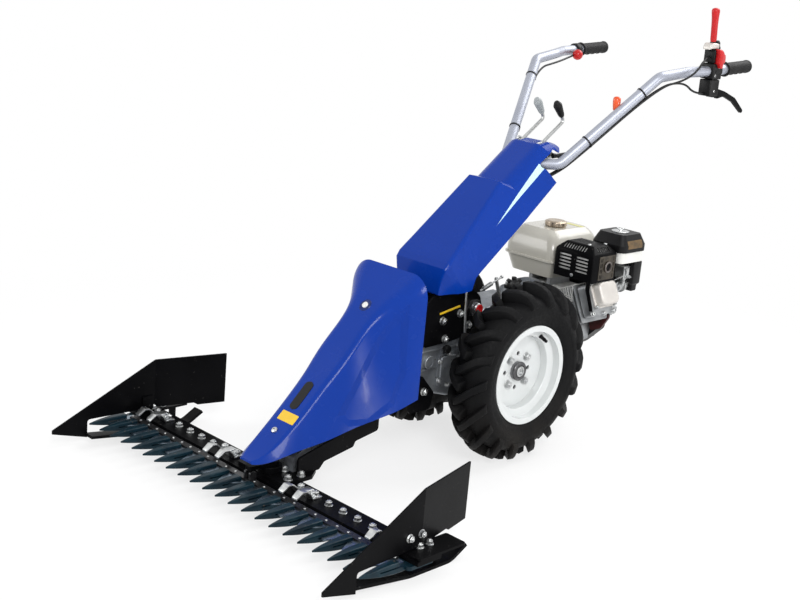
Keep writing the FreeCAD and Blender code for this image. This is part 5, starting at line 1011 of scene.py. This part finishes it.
# painted shade: a flat black disc in the mouth of the outlet pipe stands in for the shade inside its hollow
# bore
boreShadeDisc = {"steps": [(0.0114, 0), (0.0112, 0.0004), (0.0104, 0.0006)], "sides": 28,
              "at": (0.1938, 0.4385, 0.5155), "facing": (1, 0, 0)}
outletPlate = block("outletPlate", outlet["low"], outlet["high"])
panelIn(outletPlate, (1, 0, 0), *outlet["panel"])
rounded(outletPlate, *outlet["soft"])
cutSlots(outletPlate, "plateSlots", slots["plate"]["half"],
         [standing((slots["plate"]["x"], y, z), (1, 0, 0)) for y in slots["plate"]["columns"]
          for z in inRow(*slots["plate"]["rows"])])
complete(outletPlate, "exhaust_metal", finish="bronzedSheet")
complete(drawnBar("outletBack", outletBack), "exhaust_metal", finish="powderBlack")
complete(roundPart("exhaustOutlet", outletPipe), "exhaust_metal")
complete(roundPart("exhaustBoreShade", boreShadeDisc), "exhaust_metal", finish="powderBlack")


# engine: the top of the air cleaner, and two blank plates
def bothWays(steps, about):  # the same pulls to the left and to the right
    return [((side, 0, 0), [((side * x, y, z), scale) for (x, y, z), scale in steps], about)
            for side in (-1, 1)]


cleanerDisc = {"steps": [(0.0255, 0.0), (0.0262, 0.0005), (0.0262, 0.0016), (0.0245, 0.0024),
                         (0.0205, 0.0016), (0.0075, 0.0014), (0.0068, 0.0034), (0.0052, 0.004)], "sides": 40,
               "at": (0.148, 0.544, 0.602)}
wingNut = {"low": (-0.004, -0.0022, 0.0038), "high": (0.004, 0.0022, 0.0085), "soft": (0.0006, 2, 30),
           "turn": 0.6,
           "pulls": bothWays([((0.0028, 0, 0.0022), (1, 0.8, 0.8)), ((0.003, 0, 0.0034), (1, 0.8, 0.8)),
                              ((0.0018, 0, 0.002), (1, 0.7, 0.7))], (0, 0, 0.0065))}
cleanerPlate = {"on": "air_cleaner_cover", "at": (0.21, 0.543, 0.5755), "size": (0.07, 0.026),
                "thick": 0.0005, "finish": "labelBrown", "slot": "black_plastic"}
tankPlate = {"on": "fuel_tank", "at": (-0.02, 0.545, 0.59), "size": (0.066, 0.016), "thick": 0.0004,
             "finish": "labelPale", "slot": "tank_white"}
complete(roundPart("cleanerDisc", cleanerDisc), "zinc")
wing = setDown(drawnBar("wingNut", wingNut),
               Matrix.Translation(cleanerDisc["at"]) @ Matrix.Rotation(wingNut["turn"], 4, "Z"))
complete(wing, "zinc")
plateOn("cleanerPlate", cleanerPlate)
plateOn("tankPlate", tankPlate)

# engine: the starter on the fan shroud
starterGrip = {"low": (-0.004, -0.0045, -0.0065), "high": (0.004, 0.0045, 0.0065), "soft": (0.0022, 3, 30),
               "at": (-0.052, 0.6045, 0.405), "turn": 0.25,
               "pulls": bothWays([((0.012, 0, 0), (1, 0.94, 0.94)), ((0.01, -0.002, 0), (1, 0.9, 0.9)),
                                  ((0.004, -0.001, 0), (1, 0.7, 0.7))], (0, 0, 0))}
starter = {"height": 0.33, "behind": 0.9, "screwCircle": 0.068, "screws": 3, "screwTurn": 0.5,
           "shroudScrews": ((-0.09, 0.26), (0.085, 0.265), (-0.095, 0.41), (0.092, 0.41)),
           "webCircle": 0.045}
louvre = {"low": (0.0285, -0.003, -0.0019), "high": (0.0575, 0.0016, 0.0019), "soft": (0.0008, 2),
          "count": 10}
starterDisc = {"steps": [(0.0225, -0.004), (0.0225, 0.0026), (0.0212, 0.0036), (0.0185, 0.0036),
                         (0.0178, 0.0029), (0.002, 0.0029)], "sides": 32}
handle = setDown(drawnBar("starterGrip", starterGrip),
                 Matrix.Translation(starterGrip["at"]) @ Matrix.Rotation(starterGrip["turn"], 4, "Y"))
complete(handle, "black_plastic")


def fromBehind(nodeName, x, z):
    return nodeName, (x, starter["behind"], z), (0, -1, 0)


def onStarter(radius, angle):  # a line that meets the starter at this radius and angle
    return fromBehind("recoil_starter", radius * cos(angle), starter["height"] + radius * sin(angle))


shroudSpots = []
for x, z in starter["shroudScrews"]:
    shroudSpots += landing(*fromBehind("fan_shroud", x, z))
for turn in range(starter["screws"]):
    shroudSpots += landing(*onStarter(starter["screwCircle"],
                                      turn * 2 * pi / starter["screws"] + starter["screwTurn"]))
fixings("shroudScrews", "shroudScrew", shroudSpots)
webTurn = pi / louvre["count"]  # the middle of the web between two slots
starterFace = castOn(*onStarter(starter["webCircle"], webTurn))[0].y
louvreSample = block("starterLouvre", louvre["low"], louvre["high"])
bevelBeyond(louvreSample, 1, louvre["high"][1] - 0.0001, *louvre["soft"])
cleanShape(louvreSample)
louvres = repeated(louvreSample, "starterLouvres",
                   [Matrix.Translation((0, starterFace, starter["height"]))
                    @ Matrix.Rotation(webTurn * (2 * step + 1), 4, "Y") for step in range(louvre["count"])])
middleDisc = roundPart("starterDisc", starterDisc, standing((0, starterFace, starter["height"]), (0, 1, 0)))
complete(joined("starterVents", [louvres, middleDisc]), "black_plastic")

# engine: the crankcase's right side
caseSide = {"x": -0.1, "ribs": (0.39, 0.43, 0.47), "ribOut": 0.0036, "ribIn": 0.002, "ribHalf": 0.0022,
            "ribFrom": 0.285, "ribTo": 0.362, "ribSoft": (0.0012, 2, 35), "drainAt": (-0.1, 0.43, 0.2575)}
oilPlug = {"steps": [(0.0155, -0.002), (0.0155, 0.004), (0.0125, 0.0044), (0.0125, 0.0125),
                     (0.0115, 0.0136), (0.004, 0.0136)], "sides": 10,
           "at": (-0.1, 0.488, 0.2615), "facing": (-1, 0, 0)}
caseRibs = [drawnBar("caseRib", {
    "low": (caseSide["x"] - caseSide["ribOut"], y - caseSide["ribHalf"], caseSide["ribFrom"]),
    "high": (caseSide["x"] + caseSide["ribIn"], y + caseSide["ribHalf"], caseSide["ribTo"]),
    "soft": caseSide["ribSoft"]}) for y in caseSide["ribs"]]
complete(joined("crankcaseRibs", caseRibs), "engine_alloy")
complete(roundPart("oilPlug", oilPlug), "black_plastic")
complete(setDown(nutSample("drainBolt"), standing(caseSide["drainAt"], (-1, 0, 0))), "zinc")

# engine: the rocker cover, laid along the cylinder
tilted = Matrix.Translation((0, 0, 0.33)) @ Matrix.Rotation(radians(-25), 4, "Y")
rockerFlange = {"low": (0.2002, 0.4035, -0.0245), "high": (0.2058, 0.4965, 0.0555),
                "corner": (0.004, 0.013, 4), "soft": (0.0009, 2, 50)}
rockerDome = {"low": (0.205, 0.409, -0.0195), "high": (0.2335, 0.491, 0.0505), "corner": (0.01, 0.0185, 6),
              "crown": (0.0085, 5), "smooth": 50}
headScrews = {"x": 0.2058, "middle": (0.45, 0.0155), "half": (0.0412, 0.0352)}
headBolts = {"x": 0.2001, "at": ((0.387, 0.038), (0.387, -0.036), (0.4405, -0.0405), (0.4865, -0.0385))}
rockerFoot = block("rockerFlange", rockerFlange["low"], rockerFlange["high"])
bevelAlong(rockerFoot, 0, *rockerFlange["corner"])
rounded(rockerFoot, *rockerFlange["soft"])
dome = block("rockerDome", rockerDome["low"], rockerDome["high"])
bevelAlong(dome, 0, *rockerDome["corner"])
faceOut(dome, (1, 0, 0))
bpy.ops.mesh.bevel(offset=rockerDome["crown"][0], segments=rockerDome["crown"][1], affect="EDGES")
cleanShape(dome)
rocker = setDown(joined("roundedRockerCover", [rockerFoot, dome]), tilted)
complete(rocker, "silver_paint", finish="rockerPaint", smooth=rockerDome["smooth"])
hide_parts("rocker_cover")
fixings("rockerScrews", "headScrew",
        [tilted @ standing((headScrews["x"], headScrews["middle"][0] + side * headScrews["half"][0],
                            headScrews["middle"][1] + up * headScrews["half"][1]), (1, 0, 0))
         for side in (-1, 1) for up in (-1, 1)])
fixings("headBolts", "headBolt",
        [tilted @ standing((headBolts["x"], y, z), (1, 0, 0)) for y, z in headBolts["at"]])

# engine: the guard's stay, the carburetor's bowl and its throttle plate
guardStay = {"low": (0.1765, 0.366, 0.452), "high": (0.1905, 0.3686, 0.476), "soft": (0.0007, 2, 30),
             "pulls": [((0, 0, -1), [((0.009, 0, -0.022), (0.94, 1, 1)), ((0.011, 0, -0.028), (0.94, 1, 1)),
                                     ((0.003, 0, -0.008), (0.94, 1, 1))], (0.19, 0.367, 0.43))]}
bowl = {"steps": [(0.0035, 0.0), (0.0055, 0.0004), (0.0055, 0.004), (0.0125, 0.0058), (0.0152, 0.009),
                  (0.016, 0.02), (0.0172, 0.0208), (0.0172, 0.0252)], "sides": 28,
        "at": (0.176, 0.5065, 0.3585)}
throttlePlate = {"low": (0.1822, 0.494, 0.43), "high": (0.1838, 0.512, 0.442), "soft": (0.0005, 1, 30),
                 "pulls": [((0, 0, 1), [((0, 0.004, 0.01), (1, 0.7, 1)), ((0, 0.008, 0.006), (1, 0.7, 1))],
                            (0.183, 0.503, 0.442))]}
complete(drawnBar("guardStay", guardStay), "black_paint")
complete(roundPart("carburetorBowl", bowl), "engine_alloy", finish="zincPlate")
complete(drawnBar("throttlePlate", throttlePlate), "zinc")

# engine: the net over the cylinder, flat as far as the bend and then rising
net = {"left": -0.058, "bend": 0.066, "right": 0.134, "flat": 0.4248, "rise": 0.4565, "front": 0.3712,
       "rear": 0.494, "low": 0.401, "pitch": 0.0062, "wire": 0.0008, "across": 31, "along": 20, "down": 4,
       "sheetSoft": (0.0004, 1, 40)}


def alongLine(start, end):  # places a piece one metre long on X between two points
    start, end = Vector(start), Vector(end)
    way = end - start
    return Matrix.Translation((start + end) / 2) @ way.to_track_quat("X", "Z").to_matrix().to_4x4() \
        @ Matrix.Diagonal((way.length, 1, 1, 1))


def netTop(x):
    slope = (net["rise"] - net["flat"]) / (net["right"] - net["bend"])
    return net["flat"] + max(0.0, x - net["bend"]) * slope


lines = []
for x in inRow(net["left"], net["pitch"], net["across"]):
    lines += [((x, net["front"], netTop(x)), (x, net["rear"], netTop(x))),
              ((x, net["front"], net["low"]), (x, net["front"], netTop(x)))]
for y in inRow(net["front"], net["pitch"], net["along"]):
    lines += [((net["left"], y, net["flat"]), (net["bend"], y, net["flat"])),
              ((net["bend"], y, net["flat"]), (net["right"], y, net["rise"]))]
for z in inRow(net["low"], net["pitch"], net["down"]):
    lines.append(((net["left"], net["front"], z), (net["right"], net["front"], z)))
wire = block("netWire", (-0.5, -net["wire"], -net["wire"]), (0.5, net["wire"], net["wire"]))
cleanShape(wire)
complete(repeated(wire, "coolingNet", [alongLine(*line) for line in lines]), "zinc", finish="jacketAlloy")
netSheets = {"netTopSheet": {"low": (net["left"], net["front"], net["flat"] - 0.003),
                             "high": (net["bend"], net["rear"], net["flat"] - 0.0014),
                             "soft": net["sheetSoft"]},
             "netFrontSheet": {"low": (net["left"], net["front"] + 0.0014, net["low"] - 0.004),
                               "high": (net["bend"], net["front"] + 0.003, net["flat"] - 0.0016),
                               "soft": net["sheetSoft"]}}
complete(joined("netBacking", [drawnBar(name, form) for name, form in netSheets.items()]), "black_paint")

# engine: the intake elbow and what joins it to the carburetor
elbow = {"low": (0.152, 0.5565, 0.452), "high": (0.2055, 0.5935, 0.5203), "soft": (0.0032, 3, 30),
         "smooth": 45,
         "pulls": [((0, 0, -1), [((0, 0.002, -0.004), (0.7, 0.7, 1)), ((0, 0, -0.017), (0.96, 0.96, 1)),
                                 ((0, 0.001, -0.004), (0.8, 0.8, 1))], (0.184, 0.577, 0.45))]}
throat = {"steps": [(0.0165, 0.0), (0.0165, 0.018), (0.0215, 0.019), (0.0215, 0.0245), (0.0185, 0.0255),
                    (0.0185, 0.036)], "sides": 28, "at": (0.17, 0.523, 0.442), "facing": (0, 1, 0.1)}
choke = {"low": (0.186, 0.531, 0.444), "high": (0.188, 0.539, 0.456), "soft": (0.0005, 1, 30),
         "pulls": [((0, 0, 1), [((0, 0.004, 0.014), (1, 0.85, 1)), ((0, 0.002, 0.014), (1, 0.85, 1)),
                                ((0, -0.006, 0.006), (1, 0.85, 1))], (0.187, 0.538, 0.46))]}
governor = {"half": 0.0011, "soft": (0.5, 0.0006, 2),
            "lines": (((0.189, 0.486, 0.47), (0.189, 0.551, 0.482)),
                      ((0.193, 0.497, 0.449), (0.193, 0.556, 0.456)),
                      ((0.193, 0.528, 0.449), (0.188, 0.548, 0.491)))}
chokeHousing = {"low": (0.158, 0.5265, 0.4665), "high": (0.1925, 0.5545, 0.5065),
                "panel": ((0.006, 0.0), (0.001, -0.0025)), "soft": (0.0028, 3, 40),
                "bolts": ((0.1925, 0.531, 0.4985), (0.1925, 0.55, 0.474))}
intakeWall = {"low": (0.144, 0.5245, 0.424), "high": (0.1505, 0.5585, 0.5205), "soft": (0.0015, 2, 40)}
slimElbow = complete(drawnBar("slimElbow", elbow), "black_plastic", smooth=elbow["smooth"])
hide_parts("intake_elbow")
intakeParts = [roundPart("carburetorThroat", throat), drawnBar("chokeLever", choke)]
rod = block("governorWire", (-0.5, -governor["half"], -governor["half"]),
            (0.5, governor["half"], governor["half"]))
bevelAlong(rod, 0, *governor["soft"])
cleanShape(rod)
intakeParts.append(repeated(rod, "governorWires", [alongLine(*line) for line in governor["lines"]]))
housing = block("chokeHousing", chokeHousing["low"], chokeHousing["high"])
panelIn(housing, (1, 0, 0), *chokeHousing["panel"])
intakeParts.append(rounded(housing, *chokeHousing["soft"]))
intakeParts.append(repeated(nutSample("intakeBolt"), "intakeBolts",
                            [standing(spot, (1, 0, 0)) for spot in chokeHousing["bolts"]]))
complete(joined("intakeLinkage", intakeParts), "engine_alloy", finish="zincPlate")
complete(drawnBar("intakeWall", intakeWall), "black_plastic")
print("engine fittings ready")

# handlebar: ribbed grips
grip = {"rise": radians(3.9), "from": (0.264, 0.7022, 1.083), "start": 0.088, "sides": 32, "smooth": 50,
        "collar": [(0.0186, 0.0), (0.0214, 0.0008), (0.022, 0.0026), (0.0214, 0.0046), (0.0182, 0.0062)],
        "rib": [(0.0172, 0.0), (0.0179, 0.0012), (0.0179, 0.0044), (0.0172, 0.0056)],
        "ribs": (0.009, 0.0068, 16),
        "end": [(0.0184, 0.1185), (0.0192, 0.1215), (0.0188, 0.125), (0.0165, 0.1272), (0.0115, 0.1282)]}
swell = {"count": 4, "deep": 0.0016, "from": 0.01, "to": 0.116, "radius": 0.018}
gripSteps = list(grip["collar"])
for foot in inRow(*grip["ribs"]):
    gripSteps += [(radius, foot + height) for radius, height in grip["rib"]]
gripSteps += grip["end"]
along = Vector((0, cos(grip["rise"]), sin(grip["rise"])))


def onBar(side, far):  # a point on the straight end of the handlebar
    return Vector((side * grip["from"][0], *grip["from"][1:])) + along * far


for side, sideName in bothSides:
    foot = onBar(side, grip["start"])
    hold = setDown(turned(sideName + "RibbedGrip", gripSteps, grip["sides"]), standing(foot, along))
    pick(hold, "VERT", lambda middle, corner: True)
    shape = bmesh.from_edit_mesh(hold.data)
    for corner in shape.verts:  # finger swells along the underside
        run = (corner.co - foot).dot(along)
        if swell["from"] < run < swell["to"]:
            below = max(0.0, (foot + along * run - corner.co).z / swell["radius"])
            wave = 2 * pi * swell["count"] * (run - swell["from"]) / (swell["to"] - swell["from"])
            corner.co.z -= below * swell["deep"] * cos(wave)
    bmesh.update_edit_mesh(hold.data)
    cleanShape(hold)
    complete(hold, "grip_rubber", "handlebar", smooth=grip["smooth"])
    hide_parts(sideName + "_grip")

# handlebar: the controls at the left grip
safetyHandle = {"steps": [(0.0082, 0.0), (0.0092, 0.006), (0.0094, 0.05), (0.0106, 0.072), (0.0118, 0.083),
                          (0.0116, 0.0885), (0.0096, 0.0925), (0.0052, 0.0946)], "sides": 32,
                "at": (0.264, 0.7125, 1.1675), "facing": (0, -0.11, 1), "smooth": 50}
leverHood = {"low": (0.2485, 0.6925, 1.148), "high": (0.2795, 0.7255, 1.164), "soft": (0.0038, 3, 30),
             "smooth": 50,
             "pulls": [((0, -1, 0), [((0, -0.012, -0.008), (0.75, 1, 0.6))], (0.264, 0.69, 1.15))]}
catchHook = {"low": (0.2765, 0.7125, 1.108), "high": (0.295, 0.7355, 1.134), "soft": (0.0016, 2, 30),
             "pulls": [((0, 0, 1), [((0, -0.005, 0.008), (0.9, 0.9, 1)), ((0, -0.009, 0.006), (0.7, 0.7, 1))],
                        (0.2857, 0.722, 1.14)),
                       ((0, 1, 0), [((0, 0.007, 0.002), (0.8, 1, 0.8)), ((0, 0.005, -0.006), (0.8, 1, 0.8))],
                        (0.2857, 0.74, 1.12), lambda middle: middle.z < 1.13),
                       ((0, 0, -1), [((0, 0.006, -0.014), (0.7, 0.55, 1))], (0.2857, 0.732, 1.1),
                        lambda middle: middle.z < 1.11 and middle.y < 0.736)]}
controlBoxes = {"leverPerch": ((0.2445, 0.7005, 1.0135), (0.2835, 0.7465, 1.0605), 0.007),
                "clampBody": ((0.242, 0.7025, 1.062), (0.286, 0.7475, 1.1065), 0.008),
                "switchBox": ((0.2455, 0.7035, 1.1085), (0.2825, 0.7395, 1.1445), 0.006)}
boxForm = {"sidePanel": (0.006, -0.0015), "frontPanel": (0.005, 0.002), "share": 0.4, "segments": 3,
           "sharpest": 35, "smooth": 50}
perchSpots = ((0.2825, 0.716, 1.072), (0.2825, 0.733, 1.096), (0.2795, 0.722, 1.128),
              (0.2805, 0.725, 1.028))
lever = complete(roundPart("safetyHandle", safetyHandle), "red_plastic", "handlebar",
                 smooth=safetyHandle["smooth"])
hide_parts("safety_lever")
complete(drawnBar("leverHood", leverHood), "white_plastic", "handlebar", "rockerPaint",
         leverHood["smooth"])
complete(drawnBar("catchHook", catchHook), "red_plastic", "handlebar")
for name, (low, high, soft) in controlBoxes.items():
    box = block(name, low, high)
    panelIn(box, (1, 0, 0), boxForm["sidePanel"])
    panelIn(box, (0, -1, 0), boxForm["frontPanel"])
    rounded(box, soft * boxForm["share"], boxForm["segments"], boxForm["sharpest"])
    complete(box, "black_plastic", "handlebar", smooth=boxForm["smooth"])
fixings("perchScrews", "perchScrew", [standing(spot, (1, 0, 0)) for spot in perchSpots], "handlebar")

# handlebar: the throttle at the right grip and the side knob
throttleClamp = {"steps": [(0.0155, -0.011), (0.0196, -0.0108), (0.0205, -0.0095), (0.0205, 0.0095),
                           (0.0196, 0.0108), (0.0155, 0.011)], "sides": 36, "run": 0.066, "smooth": 45}
throttleArm = {"low": (-0.2475, 0.7335, 1.0715), "high": (-0.2395, 0.7665, 1.0785), "soft": (0.0014, 2, 30),
               "pulls": [((1, 0, 0), [((0.006, -0.003, 0), (1, 0.6, 0.8))], (-0.24, 0.742, 1.075))]}
throttleBall = {"radius": 0.0165, "rings": 13, "sides": 28, "at": (-0.229, 0.7345, 1.0755),
                "facing": (0.8, -0.5, -0.2), "smooth": 60}
sideKnob = {"steps": [(0.0052, -0.012), (0.0055, 0.0), (0.0088, 0.003), (0.0102, 0.014), (0.0112, 0.026),
                      (0.0108, 0.034), (0.0085, 0.0385), (0.0042, 0.0405)], "sides": 28,
            "at": (0.1585, 0.4305, 0.9605), "facing": (-0.06, 0.05, 1), "smooth": 60}
clampRing = roundPart("throttleClamp", throttleClamp, standing(onBar(-1, throttleClamp["run"]), along))
clampSet = joined("throttleClampSet", [clampRing, drawnBar("throttleArm", throttleArm)])
complete(clampSet, "black_plastic", "handlebar", smooth=throttleClamp["smooth"])
bow = [pi * (step + 0.6) / (throttleBall["rings"] + 0.2) for step in range(throttleBall["rings"])]
throttleBall["steps"] = [(throttleBall["radius"] * sin(turn), -throttleBall["radius"] * cos(turn))
                         for turn in bow]
ball = complete(roundPart("throttleBall", throttleBall), "red_plastic", "handlebar",
                smooth=throttleBall["smooth"])
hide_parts("throttle_lever")
knob = complete(roundPart("sideKnob", sideKnob), "orange_plastic", "handlebar", smooth=sideKnob["smooth"])
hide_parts("side_lever")

# handlebar: ties round the tube and its cables
tie = {"low": (0.098, 0.2812, 0.806), "high": (0.224, 0.5272, 1.062), "shares": (0.27, 0.82), "sides": 36,
       "steps": [(0.0154, -0.0022), (0.0166, -0.0022), (0.0168, 0.0), (0.0166, 0.0022), (0.0154, 0.0022)],
       "underside": -0.0105, "reach": (0, -0.0058, 0), "wall": 0.0012}
tieSpots = []
for side in (-1, 1):
    low, high = (Vector((side * x, y, z)) for x, y, z in (tie["low"], tie["high"]))
    for share in tie["shares"]:
        tieSpots.append(standing(low.lerp(high, share), high - low))
band = turned("tieSample", tie["steps"], tie["sides"])
pick(band, "FACE", lambda middle, face: abs(face.normal.z) > 0.95 and len(face.verts) == tie["sides"])
bpy.ops.mesh.delete(type="FACE")
# the loop reaches down round the cables
pick(band, "VERT", lambda middle, corner: middle.y < tie["underside"])
bpy.ops.transform.translate(value=tie["reach"])
bpy.ops.object.mode_set(mode="OBJECT")
bandWall = band.modifiers.new("wall", "SOLIDIFY")
bandWall.thickness = tie["wall"]
bpy.ops.object.modifier_apply(modifier="wall")
complete(repeated(band, "cableTies", tieSpots), "black_plastic", "handlebar")
print("handlebar ready")
